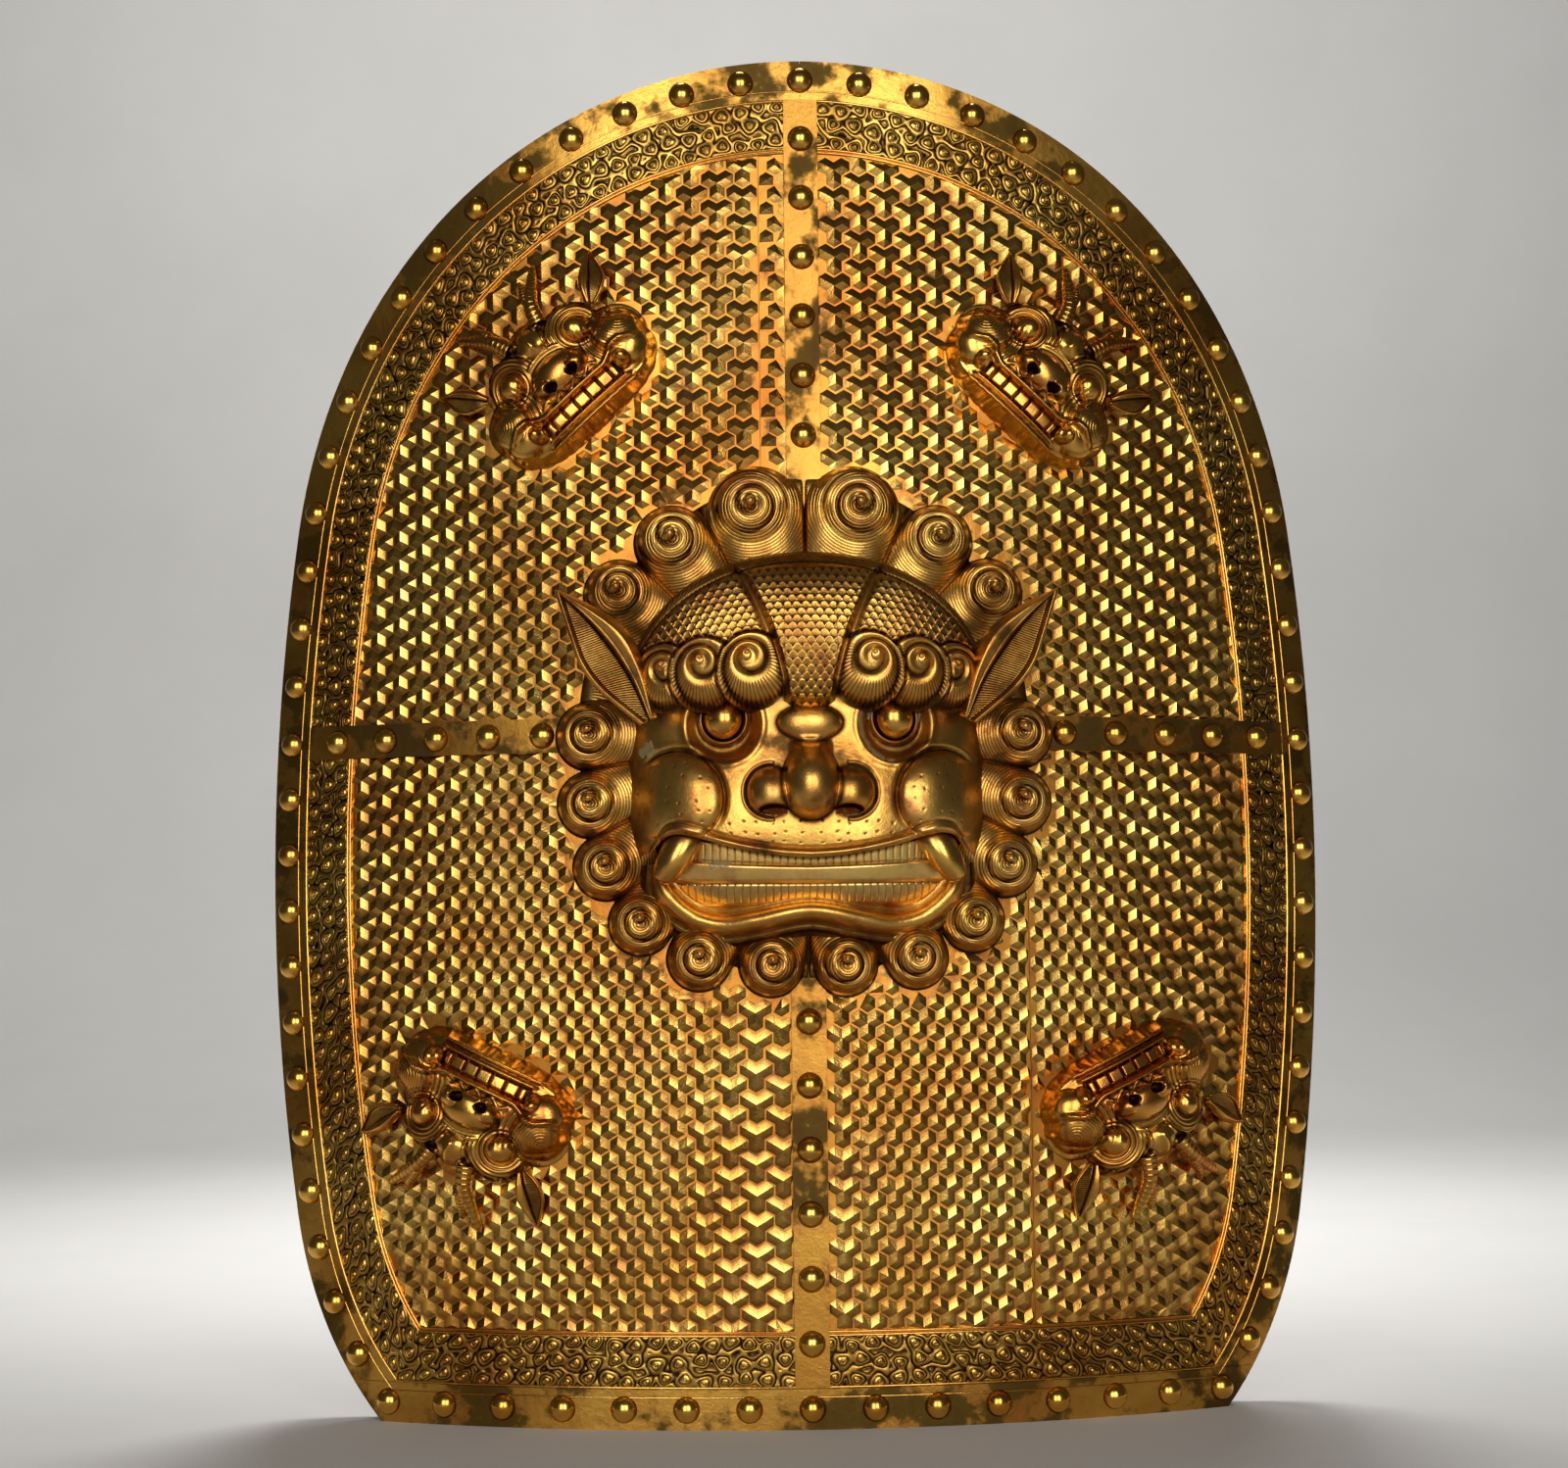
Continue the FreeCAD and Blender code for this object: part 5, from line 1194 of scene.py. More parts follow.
def teeth():
    """The plate in the mouth: two rows of teeth parted by fine upright cuts, with a smooth bar between."""
    columns, rows = 380, 90
    x = np.linspace(-86.0, 86.0, columns)[None, :]
    top = through(LIP_X, LIP_Z, np.abs(x)) + 4
    low = through(*zip(*LOWER_LIP[:-1]), np.abs(x)) + 2.0
    share = np.linspace(0, 1, rows)[:, None]
    z = low + (top - low) * share
    x = x + 0 * z
    ax = np.abs(x)
    sag = through([0, 25, 50, 75, 90], [0, 1.2, 3.6, 7.5, 9.5], ax)
    gums, upper_tips, lower_tips, roots = (-58.5 + sag, -68.5 + sag * 0.6, -81.0 + sag * 0.15, -91.5 - sag * 0.2)
    height = face_form(x * 0.96, z) - 8.5
    # Relief carries painted shade: darker in the cuts between teeth, along their tips, under the lips and at the
    # mouth's corners.
    relief = np.full(x.shape, 1.0)
    cut = line_at((np.mod((x + 0.5 * waver(x, z, 20, 2)) / TOOTH + 0.5, 1) - 0.5) * TOOTH, 0.34)
    for high, bottom in ((gums, upper_tips), (lower_tips, roots)):
        inside = smooth(bottom - 0.4, bottom + 0.4, z) * smooth(high + 0.4, high - 0.4, z) * smooth(76, 70, ax)
        height = height - 0.4 * cut * inside
        relief = relief - 0.65 * cut * inside
    for line in (upper_tips, lower_tips):
        height = height - 0.8 * line_at(z - line, 0.55)
        relief = relief - 0.75 * line_at(z - line, 0.5)
    height = height - 3.0 * smooth(gums + 0.5, gums + 4, z) - 5.0 * smooth(roots - 0.5, roots - 5, z)
    bar = smooth(lower_tips, lower_tips + 3, z) * smooth(upper_tips, upper_tips - 3, z)
    height = height + 1.3 * bar - 8.0 * smooth(74, 84, ax)
    relief = relief - 0.8 * smooth(2.5, -1.5, (z - low) - 4) - 0.8 * smooth(3.0, 0.0, (top - z) - 4)
    relief = relief - 0.9 * smooth(72, 79, ax)
    none = np.zeros(x.shape)
    made = make("teeth", lowered(x, z, np.maximum(height, 0.5)), quads(*x.shape), TEETH_GILT, "gilt_mask",
                relief=np.clip(relief, 0, 1), strand=none, strand_depth=none,
                residue=0.45 * dome(x, z, -52, -66, 15, 7))
    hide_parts("lion_teeth")


teeth()


# Eyes, fangs and ears

def ball_front(cx, cz, base, radius):
    """A ball's front: circles about its middle, from nearly nothing at the top to behind its widest."""
    count, rings = 44, 24
    angle = whole_turn(count)
    turn = np.linspace(0.001, math.pi * 0.62, rings)
    x = cx + radius * np.sin(turn)[:, None] * np.cos(angle)[None, :]
    z = cz + radius * np.sin(turn)[:, None] * np.sin(angle)[None, :]
    return x, z, base + radius * np.cos(turn)[:, None] + 0 * x


def eyeballs():
    """Two eyeballs, with painted shade where they meet the lids."""
    for side, label in SIDES:
        x, z, height = ball_front(side * EYE_ACROSS, 10.6, 34.6, 9.9)
        # Painted shade: darker towards the back of the ball, where it meets the lids.
        relief = 0.45 + 0.55 * smooth(32.0, 36.0, height)
        make("eyeball_" + label, lowered(x, z, height), quads(*x.shape, ring=True)[:, ::-1], EYE_GILT, "gilt_mask",
             nodes=("lion_eye_" + label,), relief=relief)


def horn_shape(stops, radii, sides, count):
    """A round horn: circles of changing radius about a smooth line through stops, closed at the tip."""
    spot = np.linspace(0, len(stops) - 1, count)
    line = smooth_run(stops, spot)
    radius = through(np.arange(len(stops)), radii, spot)
    tip = np.sqrt(np.clip((len(stops) - 1 - spot) / 0.25, 0, 1))
    radius = np.maximum(radius * tip, 0.01)
    along = unit(np.gradient(line, axis=0))
    side = unit(np.cross(along, (0.0, 0.0, 1.0)))
    other = np.cross(side, along)
    angle = whole_turn(sides)
    ring = side[:, None] * np.cos(angle)[None, :, None] + other[:, None] * np.sin(angle)[None, :, None]
    return line[:, None] + ring * radius[:, None, None], quads(count, sides, ring=True)


def fangs():
    """Two thick fangs that come down over the lower lip from the corners of the mouth."""
    for side, label in SIDES:
        stops = [(side * 65, -44, 26), (side * 69, -54, 32), (side * 75, -67, 34), (side * 81, -80, 31)]
        shape, faces = horn_shape(stops, [10.6, 10.2, 8.8, 5.6], 30, 40)
        # Painted shade: darker at the top, where a fang comes out from under the upper lip.
        relief = np.clip(0.3 + 0.7 * smooth(-50, -57, shape[..., 1]), 0, 1)
        make("fang_" + label, lowered(shape[..., 0], shape[..., 1], shape[..., 2]), faces, EYE_GILT, "gilt_mask",
             nodes=("lion_fang_" + label,), relief=relief)


# The right ear's spine from its foot to its tip, its width on the two sides of it, and how proud it is
EAR_LINE = [(87.0, 4.0), (97.0, 25.0), (109.0, 43.0), (121.5, 59.0), (137.5, 76.0)]
EAR_OUT = [5.0, 15.5, 17.5, 11.5, 0.5]
EAR_IN = [5.0, 11.0, 14.5, 9.5, 0.5]
EAR_LIFT = [36.0, 39.0, 42.0, 44.0, 45.0]


def leaf(stops, wide_out, wide_in, lift, rows, columns, edge_roll, wall, pitch):
    """A leaf-shaped ear: a curved spine with a width on each side of it.

    Across, a broad roll runs along the inner edge; beside it lie a fine ridge, a hollow with fine
    hatching, and a narrow roll along the outer edge. A back sheet and a wall close the shape.
    """
    spot = np.linspace(0, len(stops) - 1, rows)
    knots = np.arange(len(stops))
    line = smooth_run(stops, spot)
    along = unit(np.gradient(line, axis=0))
    share = np.linspace(-1, 1, columns)[None, :]
    wide = np.where(share > 0, through(knots, wide_out, spot)[:, None], through(knots, wide_in, spot)[:, None])
    x = line[:, :1] + along[:, 1:] * share * wide
    z = line[:, 1:] - along[:, :1] * share * wide
    edge = wide * (1 - np.abs(share))
    roll = rolled(edge, edge_roll)
    cup = smooth(-0.28, -0.05, share) * smooth(edge_roll / 2, edge_roll * 1.5, edge)
    height = through(knots, lift, spot)[:, None] + 1.1 * edge_roll * roll - 1.6 * edge_roll * cup
    height = height + 1.1 * edge_roll * line_at(share + 0.62, 0.34) * smooth(0, edge_roll * 1.6, edge)
    height = height + 0.5 * edge_roll * line_at(share + 0.20, 0.06)
    # Painted shade: darker in the cup, along two fine lines beside the ridge and inside the outer roll.
    relief = 1 - 0.45 * cup - 0.6 * line_at(share + 0.30, 0.05) - 0.6 * line_at(share + 0.10, 0.06)
    relief = np.clip(relief - 0.4 * line_at(edge - edge_roll * 0.8, edge_roll / 4) * (share > 0), 0, 1)
    strand = spot[:, None] * wide.max() * pitch - share * wide.max() * 0.22
    back = height - (wall * 0.8) * roll - wall * 0.3
    layers = np.stack([relief, strand, 0.95 * cup + 0 * x], axis=-1).reshape(-1, 3)
    return x, z, height, back, np.tile(layers, (2, 1)), closed_sheet(rows, columns)


def ears():
    """The mask's two ears."""
    x, z, height, back, layers, faces = leaf(EAR_LINE, EAR_OUT, EAR_IN, EAR_LIFT, 120, 84, 3.1, 5.0, 0.86)
    for side, label in SIDES:
        points = np.concatenate([plan(side * x, z, height).reshape(-1, 3), plan(side * x, z, back).reshape(-1, 3)])
        make("ear_" + label, points, faces if side > 0 else faces[:, ::-1], MASK_GILT, "gilt_mask",
             nodes=("lion_ear_" + label,), relief=layers[:, 0], strand=layers[:, 1], strand_depth=layers[:, 2])


eyeballs()
fangs()
ears()


# Beast heads: r across through the eyes, q down the face to the jaws, from the middle between the eyes

HEAD_MIDDLE = 14.0
# Beads over an eye: across, down and radius. Knob of the brow and snout: middle and half sizes
BEADS = [(9.0, -17.5, 3.6), (16.5, -20.0, 3.2), (24.0, -20.5, 3.4), (31.5, -17.5, 3.0), (37.0, -12.0, 2.6)]
BROW_KNOB = (0.0, -10.5, 10.0, 8.5)
SNOUT = (0.0, 13.0, 17.0, 9.5)
HEAD_EYE = 25.0
HEAD_TOOTH = 8.4
# An ear's spine, the width on its two sides and its lift, and the stops and radii of a forked horn
HEAD_EAR_LINE = [(40.0, 6.0), (44.5, 11.5), (49.5, 17.5), (54.0, 24.0), (59.5, 31.0)]
HEAD_EAR_OUT = [3.0, 7.0, 8.2, 5.5, 0.4]
HEAD_EAR_IN = [3.0, 5.8, 7.2, 5.0, 0.4]
HEAD_EAR_LIFT = [9.0, 9.5, 8.0, 5.0, 2.0]
HEAD_HORNS = [([(11.0, -16.0, 14.0), (15.0, -27.0, 14.0), (22.0, -37.0, 9.0), (31.0, -48.0, 3.5)],
               [5.2, 4.2, 3.4, 1.6]),
              ([(15.0, -26.0, 13.0), (15.0, -33.0, 12.0), (17.5, -40.0, 8.5), (18.0, -46.0, 4.0)],
               [3.6, 3.2, 2.6, 1.2])]
HORN_SIDES, HORN_STEPS = 14, 26


def head_outline(angle):
    """The farthest reach from the head's middle of any of the rounds that make up its outline."""
    er, eq = np.cos(angle), -np.sin(angle)
    reach = np.zeros(angle.shape)
    for cr, cq, radius in HEAD_ROUNDS:
        for side in (1, -1):
            along = side * cr * er + (cq - HEAD_MIDDLE) * eq
            inside = radius ** 2 - (cr ** 2 + (cq - HEAD_MIDDLE) ** 2 - along ** 2)
            far = along + np.sqrt(np.maximum(inside, 0))
            reach = np.maximum(reach, np.where(inside > 0, far, 0))
    return reach


def head_relief(r, q, edge):
    """Height, painted shade of the hollows, strand phase and strand depth of a beast's face: domes, rings, ridges and
    teeth.

    Two domes make up the skull and the jaws. On them stand, from the brow down, a ridged knob, ringed
    eyes under curved ridges and beads, a snout, wrinkled cheeks, and lips over a row of teeth.
    """
    ar = np.abs(r)
    height = soft_max(17.0 * dome(r, q, 0, -2, 43, 27), 16.5 * dome(r, q, 0, 24, 57, 27, 0.4), 5.0)
    # Relief carries painted shade: darker lines round the brow knob, eyes, beads and snout, in the grooves of the
    # ridges and wrinkles, in the nostrils, in the mouth between the teeth, round the lip's knob, and towards the
    # rolled edge.
    relief = np.full(r.shape, 1.0)
    ridge = line_at(r, 2.4) * smooth(-24, -18, q) * smooth(-3, -7, q)
    height = height + 4.5 * dome(r, q, *BROW_KNOB) + 2.0 * ridge
    relief = relief - 0.6 * line_at((oval(r, q, *BROW_KNOB) - 1.06) * 9, 1.0)
    for row in (-1.5, 2.5):
        height = height + 0.9 * line_at(q - row - 0.02 * ar ** 2, 1.1) * smooth(13, 9, ar)
        relief = relief - 0.45 * line_at(q - row - 2.0 - 0.02 * ar ** 2, 0.8) * smooth(13, 9, ar)
    eye = np.hypot(ar - HEAD_EYE, q)
    height = height - 2.5 * smooth(13, 9, eye) + 1.0 * np.sqrt(np.maximum(8.2 ** 2 - eye ** 2, 0))
    height = height + 1.6 * line_at(eye - 9.6, 0.8) + 1.1 * line_at(eye - 11.9, 0.8)
    relief = relief - 0.85 * line_at(eye - 8.3, 0.7) - 0.6 * line_at(eye - 10.8, 0.6)
    relief = relief - 0.5 * line_at(eye - 13.0, 0.7)
    above = smooth(3.0, -4.0, q - 0.10 * (ar - 24))
    for away in (14.4, 16.7, 18.9):
        height = height + 1.2 * line_at(eye - away, 0.75) * above
        relief = relief - 0.6 * line_at(eye - away - 1.15, 0.5) * above
    for cr, cq, size in BEADS:
        far = np.hypot(ar - cr, q - cq)
        height = height + 0.9 * np.sqrt(np.maximum(size ** 2 - far ** 2, 0)) + 0.5 * line_at(far - size * 0.55, 0.4)
        relief = relief - 0.7 * line_at(far - size, 0.6) - 0.4 * line_at(far - size * 0.8, 0.35)
    flare = dome(ar, q, 11.0, 15.5, 7.5, 6.0)
    hole = dome(ar, q, 7.5, 18.0, 4.0, 2.8, 0.6)
    height = height + np.maximum(7.5 * dome(r, q, *SNOUT, 0.45), 9.0 * flare) - 6.0 * hole
    relief = relief - 0.8 * line_at((oval(r, q, *SNOUT) - 1.06) * 12, 1.1) - 1.0 * smooth(0.1, 0.4, hole)
    lower = 23.6 + 1.3 * np.cos(r * 0.62) - 0.004 * r ** 2
    height = height + 1.8 * line_at(q - lower, 0.9) * smooth(22, 17, ar)
    relief = relief - 0.5 * line_at(q - lower - 1.7, 0.7) * smooth(22, 17, ar)
    lobe = dome(ar, q, 40.0, 15.0, 14.0, 13.5)
    height = height + 8.0 * np.maximum(lobe, 0.7 * dome(ar, q, 40.0, 28.0, 11.5, 10.5))
    inner = np.hypot(ar - 46.0, q - 14.0)
    wrinkle = smooth(1, 5, q) * smooth(25, 21, q) * smooth(40, 34, ar)
    for away in (17.0, 20.0, 23.0, 26.0):
        height = height + 0.8 * line_at(inner - away, 0.7) * wrinkle
        relief = relief - 0.55 * line_at(inner - away - 1.4, 0.55) * wrinkle
    lip = 27.2 - 4.6 * smooth(20, 33, ar) + 3.5 * smooth(36, 46, ar)
    height = height + 3.2 * line_at(q - lip, 1.5) * smooth(50, 44, ar)
    relief = relief - 0.7 * line_at(q - lip + 2.6, 0.8) * smooth(48, 42, ar)
    mouth = smooth(28.5, 30.0, q) * smooth(38.4, 37.0, q) * smooth(27.5, 25.5, ar)
    tooth = np.abs(np.mod(r / HEAD_TOOTH + 0.5, 1) - 0.5) * HEAD_TOOTH
    block = smooth(3.9, 3.1, tooth) * smooth(29.6, 30.6, q) * smooth(36.9, 35.9, q) * smooth(26, 24.5, ar)
    height = height - 4.5 * mouth + 3.8 * block
    relief = relief - 0.85 * mouth * (1 - block)
    knob = np.hypot(ar - 30.5, q - 31.5)
    height = height + 1.0 * np.sqrt(np.maximum(4.8 ** 2 - knob ** 2, 0))
    relief = relief - 0.8 * line_at(knob - 5.2, 0.8)
    height = height + 2.4 * line_at(q - 39.2, 1.0) * smooth(31, 27, ar)
    height = height + 3.0 * line_at(q - 43.4, 1.6) * smooth(36, 30, ar)
    relief = relief - 0.75 * line_at(q - 41.2, 0.7) * smooth(33, 28, ar)
    height = height + 1.2 * line_at(edge - 4.6, 1.4) * smooth(8, 16, q)
    relief = relief - 0.4 * line_at(edge - 7.2, 0.9) * smooth(8, 16, q)
    roll = rolled(edge, 7.5)
    height = height * roll
    depth = 0.5 * smooth(0.2, 0.6, lobe) * smooth(6, 12, edge)
    return height, np.clip(relief - 0.35 * (1 - roll), 0, 1), np.hypot(ar - 46, q - 12) / 1.7, depth


def carried(place, r, q, height):
    """Places on a head carried to the sheet: turned by the head's lean and moved to its middle."""
    x, z, turn = place
    cos, sin = math.cos(math.radians(turn)), math.sin(math.radians(turn))
    return wrap(x + r * cos + q * sin, CROSSING + z + r * sin - q * cos, height)


def beast_head(label, place, solid):
    """A head's relief on a fan of rays from its middle, with its two ears and two forked horns."""
    rays, rings = 380, 92
    angle = whole_turn(rays)
    outer = head_outline(angle)
    share = np.linspace(0.004, 1, rings)[:, None]
    share = share + 0.12 * share * (1 - share)
    reach = outer[None, :] * share
    slant = np.abs(np.roll(outer, -1) - np.roll(outer, 1)) / (4 * math.pi / rays) / outer
    edge = (outer[None, :] - reach) / np.hypot(1, slant)[None, :]
    r, q = reach * np.cos(angle), HEAD_MIDDLE - reach * np.sin(angle)
    height, relief, strand, depth = head_relief(r, q, edge)
    height[-1] = -0.5
    parts = [(carried(place, r, q, height), quads(rings, rays, ring=True)[:, ::-1])]
    layers = [np.stack([relief, strand, depth], axis=-1).reshape(-1, 3)]
    for side in (-1, 1):
        a, b, front, back, ear_layers, faces = leaf(HEAD_EAR_LINE, HEAD_EAR_OUT, HEAD_EAR_IN, HEAD_EAR_LIFT,
                                                    48, 30, 1.6, 2.4, 0.9)
        points = np.concatenate([carried(place, side * a, -b, front).reshape(-1, 3),
                                 carried(place, side * a, -b, back).reshape(-1, 3)])
        parts.append((points, faces if side > 0 else faces[:, ::-1]))
        layers.append(ear_layers)
        for stops, radii in HEAD_HORNS:
            shape, faces = horn_shape([(side * p[0], -p[1], p[2]) for p in stops], radii, HORN_SIDES, HORN_STEPS)
            parts.append((carried(place, shape[..., 0], -shape[..., 1], shape[..., 2]), faces))
            ribs = np.repeat(np.arange(HORN_STEPS) * 0.5, HORN_SIDES)
            layers.append(np.stack([np.full(ribs.shape, 0.95), ribs, np.full(ribs.shape, 0.5)], axis=-1))
    points, faces = merged(parts)
    layers = np.concatenate(layers)
    made = make(label, points, faces, HEAD_GILT, "gilt_sheet", relief=layers[:, 0], strand=layers[:, 1],
                strand_depth=layers[:, 2])
    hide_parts(solid)


for quarter, place in zip(("upper_left", "upper_right", "lower_left", "lower_right"), HEADS):
    beast_head("head_" + quarter, place, quarter + "_head")


# Back: leather lining, arm loop and their stitches

STAVES = 8
STAVE_WIDTH = 2 * HALF_WIDTH / STAVES
# Radius of the lining's face, its thickness, and how far in from the edge it ends and is stitched
LINING_FACE = 582.0
LINING_WALL = 1.8
LINING_INSET = 1.6
STITCH_INSET = 26.5
# The arm loop: its place across, half its span, how far it stands out, its thickness and width, the end of
# its tabs, and how far in from its sides it is stitched
ARM_ACROSS = 95.0
LOOP_HALF, LOOP_DEPTH, LOOP_WALL, LOOP_WIDTH, TAB_END = 62.0, 70.0, 4.0, 46.0, 105.5
LOOP_STITCH = 4.5


def lining():
    """The leather behind the staves: a slow waver over the bent sheet, pressed in at its seam, and closed.

    Each row is level and runs between two opposite places on the edge.
    """
    line = edge_line(LINING_INSET, 7.0)
    corner = int(np.argmax(line[:, 1] > LINING_INSET + 1e-6))
    half, up = line[corner - 1:, 0], line[corner - 1:, 1]
    half = np.maximum(half, 0.05)
    share = np.linspace(-1, 1, 84)[None, :]
    across, z = half[:, None] * share, up[:, None] + 0 * share
    inset = inset_of(across, z)
    seam = line_at(inset - STITCH_INSET, 1.6)
    lift = 0.28 * waver(across, z, 55, 1) + 0.16 * waver(across, z, 17, 5) - 0.7 * seam
    lift = lift + 0.25 * line_at(np.mod(across / STAVE_WIDTH + 0.5, 1) - 0.5, 0.03)
    lift = np.where(inset < 23, -0.5, lift)
    back = wrap(across, z, LINING_FACE - SHEET - lift)
    front = wrap(across, z, LINING_FACE - SHEET + LINING_WALL + 0 * lift)
    faces = closed_sheet(*z.shape)[:, ::-1]
    points = np.concatenate([back.reshape(-1, 3), front.reshape(-1, 3)])
    wear = np.clip(0.5 + 0.5 * waver(across, z, 90, 4) - 0.4 * seam, 0, 1)
    return make("lining_leather", points, faces, LEATHER, "lining_leather", nodes=("leather_lining",),
                wear=np.tile(wear.ravel(), 2))


def thread(path, out, length, thick):
    """Short stitches along a path: each a low six-sided bar that dips at both ends.

    The path, the directions straight out of the leather, and a stitch's length and thickness are in metres.
    """
    slim = np.array([0.35, 0.9, 1.0, 0.9, 0.35])
    steps, sides = len(slim), 6
    gone = np.concatenate([[0], np.cumsum(np.linalg.norm(np.diff(path, axis=0), axis=1))])
    pitch = length * 1.45
    count = int(gone[-1] / pitch)
    first = (np.arange(count) + 0.15) * pitch
    spots = np.linspace(0, 1, steps)[None, :] * length + first[:, None]
    line = np.stack([np.interp(spots, gone, path[:, k]) for k in range(3)], axis=-1)
    away = np.stack([np.interp(spots, gone, out[:, k]) for k in range(3)], axis=-1)
    line = line + away * (thick * (np.sin(np.linspace(0, math.pi, steps)) - 0.35))[None, :, None]
    side = np.cross(unit(np.gradient(line, axis=1)), away)
    turn = whole_turn(sides)[None, None, :, None]
    ring = side[:, :, None] * np.cos(turn) + away[:, :, None] * np.sin(turn)
    points = line[:, :, None] + ring * thick * 0.5 * slim[None, :, None, None]
    grid = quads(steps, sides, ring=True)
    faces = (grid[None] + np.arange(count)[:, None, None] * steps * sides).reshape(-1, 4)
    return points.reshape(-1, 3), faces[:, ::-1]


def loop_line():
    """The arm loop's middle line beside the lining: a tab, a bend, an arc, a bend and a tab.

    Up the shield and out from the lining's face, in millimetres.
    """
    radius = (LOOP_HALF ** 2 + LOOP_DEPTH ** 2) / (2 * LOOP_DEPTH)
    middle = LOOP_DEPTH - radius
    radius += LOOP_WALL / 2
    angle = np.radians(np.linspace(168, 12, 15))
    arc = np.stack([radius * np.cos(angle), middle + radius * np.sin(angle)], axis=-1)
    tab = np.array([(-TAB_END, 2.3), (-96, 2.3), (-86, 2.3), (-77, 2.6), (-69.5, 6.5), (-65.6, 13.0)])
    stops = np.concatenate([tab, arc, (tab * (-1, 1))[::-1]])
    return smooth_run(stops, np.linspace(0, len(stops) - 1, 260))


def on_lining(x, up, out):
    """Places beside the arm loop: x across, up from the crossing and out from the lining's face."""
    turn = ARM_ACROSS / SHEET
    radius = LINING_FACE - out
    flat_x, flat_y = x + 0 * radius, -radius
    return np.stack([flat_x * math.cos(turn) - flat_y * math.sin(turn),
                     AXIS + flat_x * math.sin(turn) + flat_y * math.cos(turn), CROSSING + up + 0 * x], axis=-1) * MM


def crowned(x, away):
    """How far the loop falls back towards its sides, where it stands clear of the lining."""
    return (x / (LOOP_WIDTH / 2)) ** 2 * smooth(6, 20, away) * 1.3


def arm_loop():
    """The forearm strap: a flat strap's rounded section carried along the loop, pinched in at its stitches."""
    line = loop_line()
    along = unit(np.gradient(line, axis=0))
    out = np.stack([-along[:, 1], along[:, 0]], axis=-1)
    turn = whole_turn(72)
    wide = LOOP_WIDTH / 2 * np.sign(np.cos(turn)) * np.abs(np.cos(turn)) ** 0.30
    thick = LOOP_WALL / 2 * np.sign(np.sin(turn)) * np.abs(np.sin(turn)) ** 0.42
    thick = thick * (1 - 0.16 * line_at(np.abs(wide) - LOOP_WIDTH / 2 + LOOP_STITCH, 1.2))
    soft = 0.35 * waver(line[:, 0], line[:, 1], 22, 2)
    depth = thick[None, :] * (0.97 + 0.02 * waver(line[:, 0], line[:, 1], 9, 3))[:, None]
    x = wide[None, :] * (0.985 + 0.012 * soft)[:, None]
    up = line[:, :1] + out[:, :1] * depth
    away = np.maximum(line[:, 1:] + out[:, 1:] * depth, 0.25)
    away = away - crowned(x, away) * out[:, 1:]
    count, sides = x.shape
    points = on_lining(x, up, away + x ** 2 / (2 * LINING_FACE) * smooth(10, 0, away))
    ends = np.stack([points[0].mean(0), points[-1].mean(0)])
    faces = quads(count, sides, ring=True)
    first = np.arange(sides)
    lid = np.stack([np.full(sides, count * sides), np.roll(first, -1), first, first], axis=-1)
    last = first + (count - 1) * sides
    other = np.stack([np.full(sides, count * sides + 1), last, np.roll(last, -1), np.roll(last, -1)], axis=-1)
    wear = np.clip(0.45 + 0.55 * smooth(0.7, 1.0, np.abs(x) / (LOOP_WIDTH / 2)), 0, 1)
    mesh_points = np.concatenate([points.reshape(-1, 3), ends])
    triangles = np.concatenate([faces[:, [0, 1, 2]], faces[:, [0, 2, 3]], lid[:, :3], other[:, :3]])
    make("arm_loop_leather", mesh_points, triangles, LEATHER, "strap_leather", nodes=("arm_strap",),
         wear=np.concatenate([wear.ravel(), [0.5, 0.5]]))
    rows = []
    line, out = line[8:-8], out[8:-8]
    face = line + out * LOOP_WALL / 2
    for side, _ in SIDES:
        x_at = np.full(len(face), side * (LOOP_WIDTH / 2 - LOOP_STITCH))
        away = face[:, 1] - crowned(x_at, face[:, 1]) * out[:, 1]
        path = on_lining(x_at, face[:, 0], away)
        normal = unit(path - on_lining(x_at, face[:, 0] - out[:, 0], away - out[:, 1]))
        rows.append(thread(path, normal, 0.0046, 0.0010))
    points, faces = merged(rows)
    make("arm_loop_stitches", points, faces, THREAD, "strap_leather")


def lining_stitches():
    """A row of stitches inside the rim all round the lining."""
    half = edge_line(STITCH_INSET, 3.0)
    flat = np.concatenate([half, (half * (-1, 1))[::-1]])
    path = wrap(flat[:, 0], flat[:, 1], np.full(len(flat), LINING_FACE - SHEET + 0.45))
    points, faces = thread(path, -outward(path), 0.0052, 0.0011)
    return make("lining_stitches", points, faces, THREAD, "lining_leather")


lining_piece = lining()
lining_thread = lining_stitches()
arm_loop()


# Stage, lights and camera

def sweep():
    """A pale floor that turns up behind the shield into a backdrop: a line, a quarter circle and a line."""
    reach, floor_end, bend, top = 6.0, 2.0, 0.9, 5.0
    side = np.linspace(-reach, reach, 25)
    turn = np.linspace(0, math.pi / 2, 14)[1:]
    depth = np.concatenate([[-reach, floor_end], floor_end + bend * np.sin(turn), [floor_end + bend]])
    height = np.concatenate([[0.0, 0.0], bend - bend * np.cos(turn), [top]])
    points = np.stack(np.broadcast_arrays(side[None, :], depth[:, None], height[:, None]), axis=-1)
    mesh = bpy.data.meshes.new("pale_sweep")
    mesh.from_pydata(points.reshape(-1, 3).tolist(), [], quads(len(depth), len(side)).tolist())
    mesh.polygons.foreach_set("use_smooth", np.ones(len(mesh.polygons), dtype=bool))
    mesh.materials.append(plain_finish("pale_stage", (210, 208, 204), (206, 204, 200), 3.0, 0.8, 0.0, 0.02))
    thing = bpy.data.objects.new("pale_sweep", mesh)
    bpy.context.scene.collection.objects.link(thing)


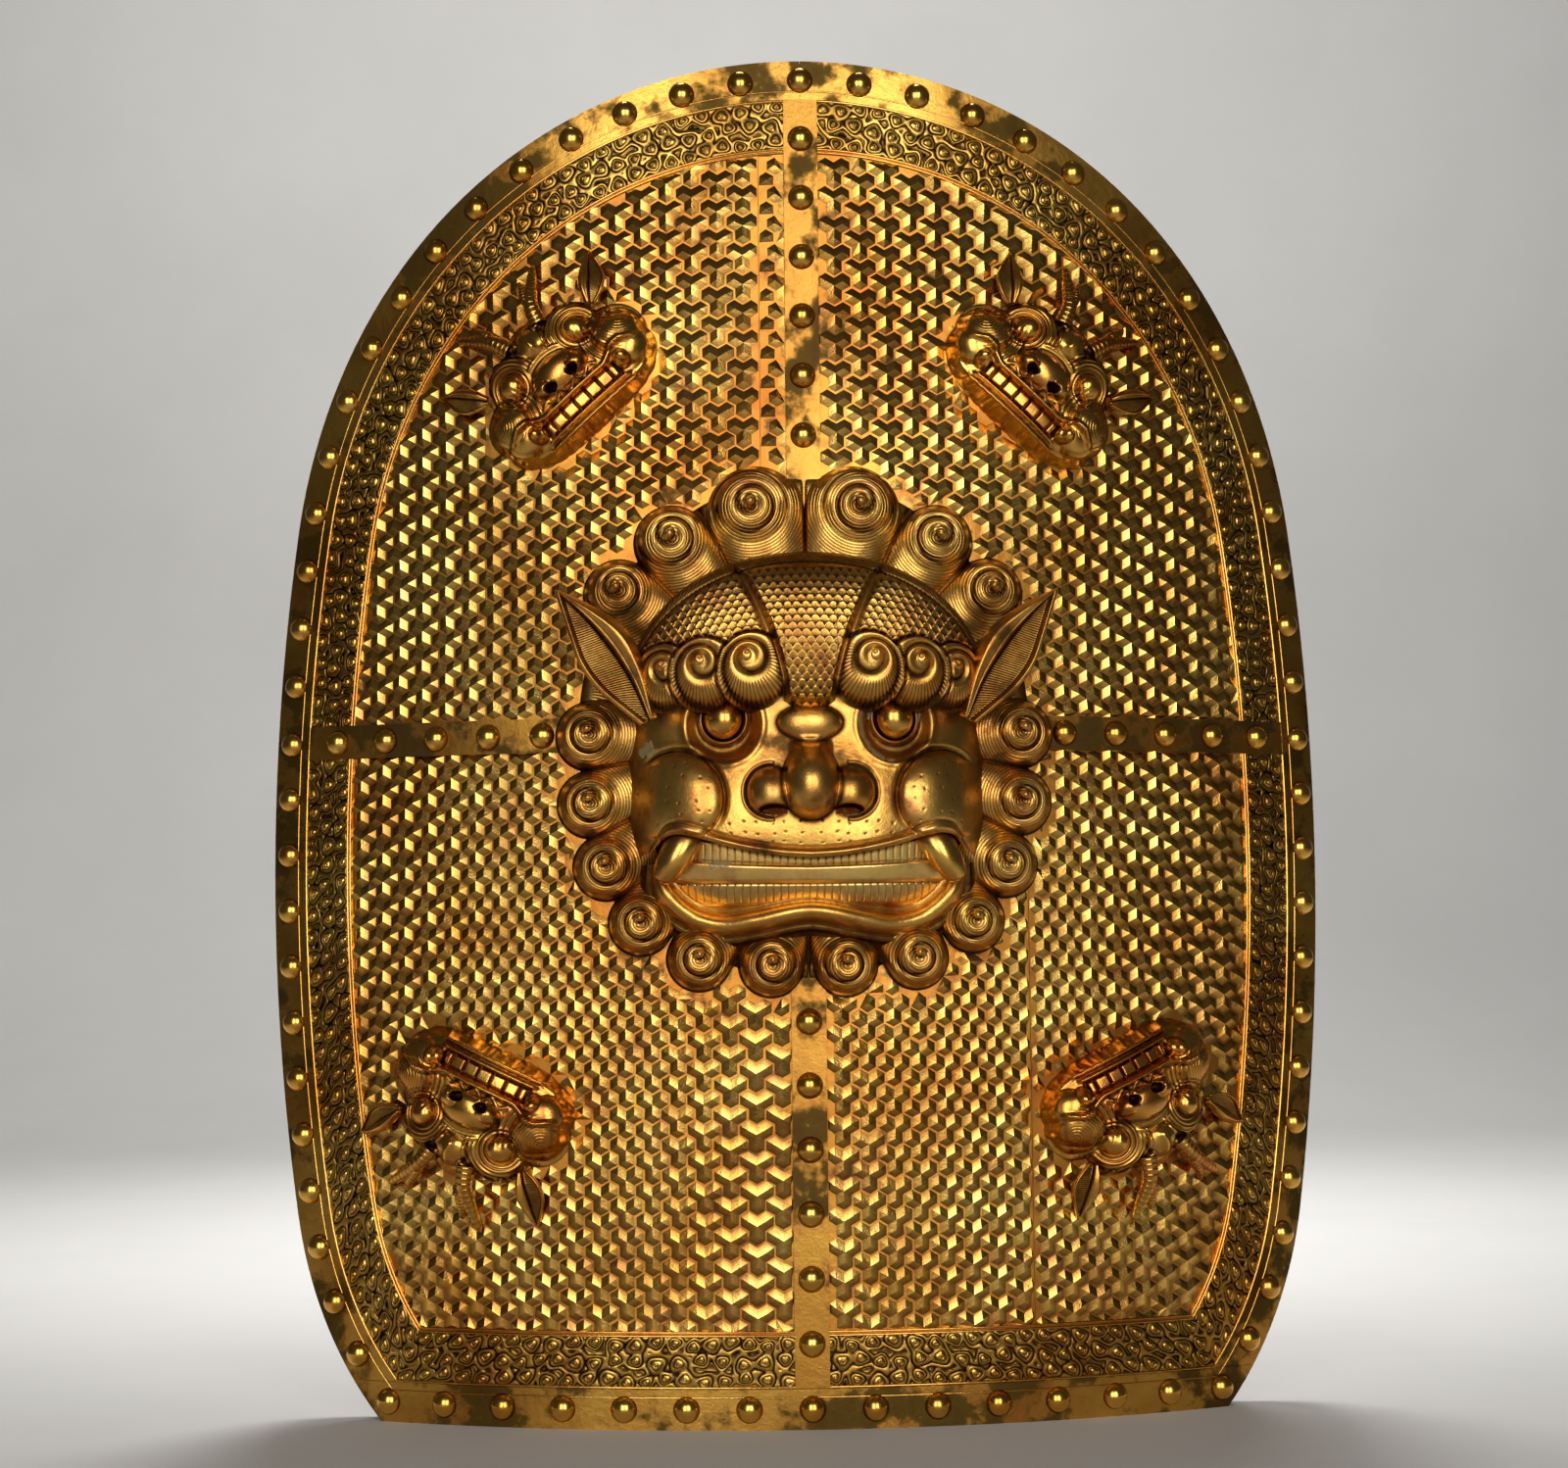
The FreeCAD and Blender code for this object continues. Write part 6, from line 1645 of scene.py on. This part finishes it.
def softbox(name, place, aim, width, height, power, spread=180):
    """A soft rectangular lamp that faces a point: its sides in metres, its watts, its beam's spread in degrees."""
    lamp = bpy.data.lights.new(name, "AREA")
    lamp.shape = "RECTANGLE"
    lamp.size, lamp.size_y, lamp.energy, lamp.spread = width, height, power, math.radians(spread)
    thing = bpy.data.objects.new(name, lamp)
    thing.location = place
    thing.rotation_euler = (Vector(aim) - Vector(place)).to_track_quat("-Z", "Y").to_euler()
    bpy.context.scene.collection.objects.link(thing)


def lights():
    """Two large soft lamps beside the camera, one over the floor, and two that light what lies behind."""
    softbox("left_front_softbox", (-0.62, -1.95, 0.78), (0, 0, 0.42), 0.75, 1.40, 6.6, 120)
    softbox("right_front_softbox", (0.46, -1.95, 0.78), (0, 0, 0.42), 0.75, 1.40, 6.6, 120)
    softbox("top_softbox", (0.0, 1.1, 2.7), (0, 0.75, 0.0), 0.9, 0.5, 7.2, 52)
    softbox("back_softbox", (0.6, 1.9, 1.6), (0, 0.1, 0.4), 1.2, 1.0, 14.0)
    softbox("backdrop_softbox", (0.0, 0.7, 2.6), (0, 2.9, 1.0), 3.0, 0.8, 38.0, 140)
    world = bpy.data.worlds.new("studio")
    world.use_nodes = True
    feed(world.node_tree, world.node_tree.nodes["Background"], {"Color": (1.0, 0.98, 0.95, 1.0), "Strength": 0.045})
    bpy.context.scene.world = world


# The camera's place, the ways it looks and holds its top, and its lens in millimetres
CAMERA_PLACE = (-0.0790, -1.4715, 0.2650)
LOOKS = Vector((0.04565, 0.99591, 0.07791))
TOP = Vector((0.00586, -0.07826, 0.99692))
LENS = 60.6


def camera():
    """A camera in front, a little to the left and below the middle, as the photograph was taken."""
    lens = bpy.data.cameras.new("camera")
    lens.lens = LENS
    thing = bpy.data.objects.new("camera", lens)
    forward = LOOKS
    right = forward.cross(TOP).normalized()
    up = right.cross(forward)
    thing.location = CAMERA_PLACE
    turn = [[right[k], up[k], -forward[k]] for k in range(3)]
    thing.rotation_euler = Matrix(turn).to_euler()
    bpy.context.scene.collection.objects.link(thing)
    bpy.context.scene.camera = thing


sweep()
lights()
camera()
bpy.context.scene.view_settings.view_transform = "Standard"
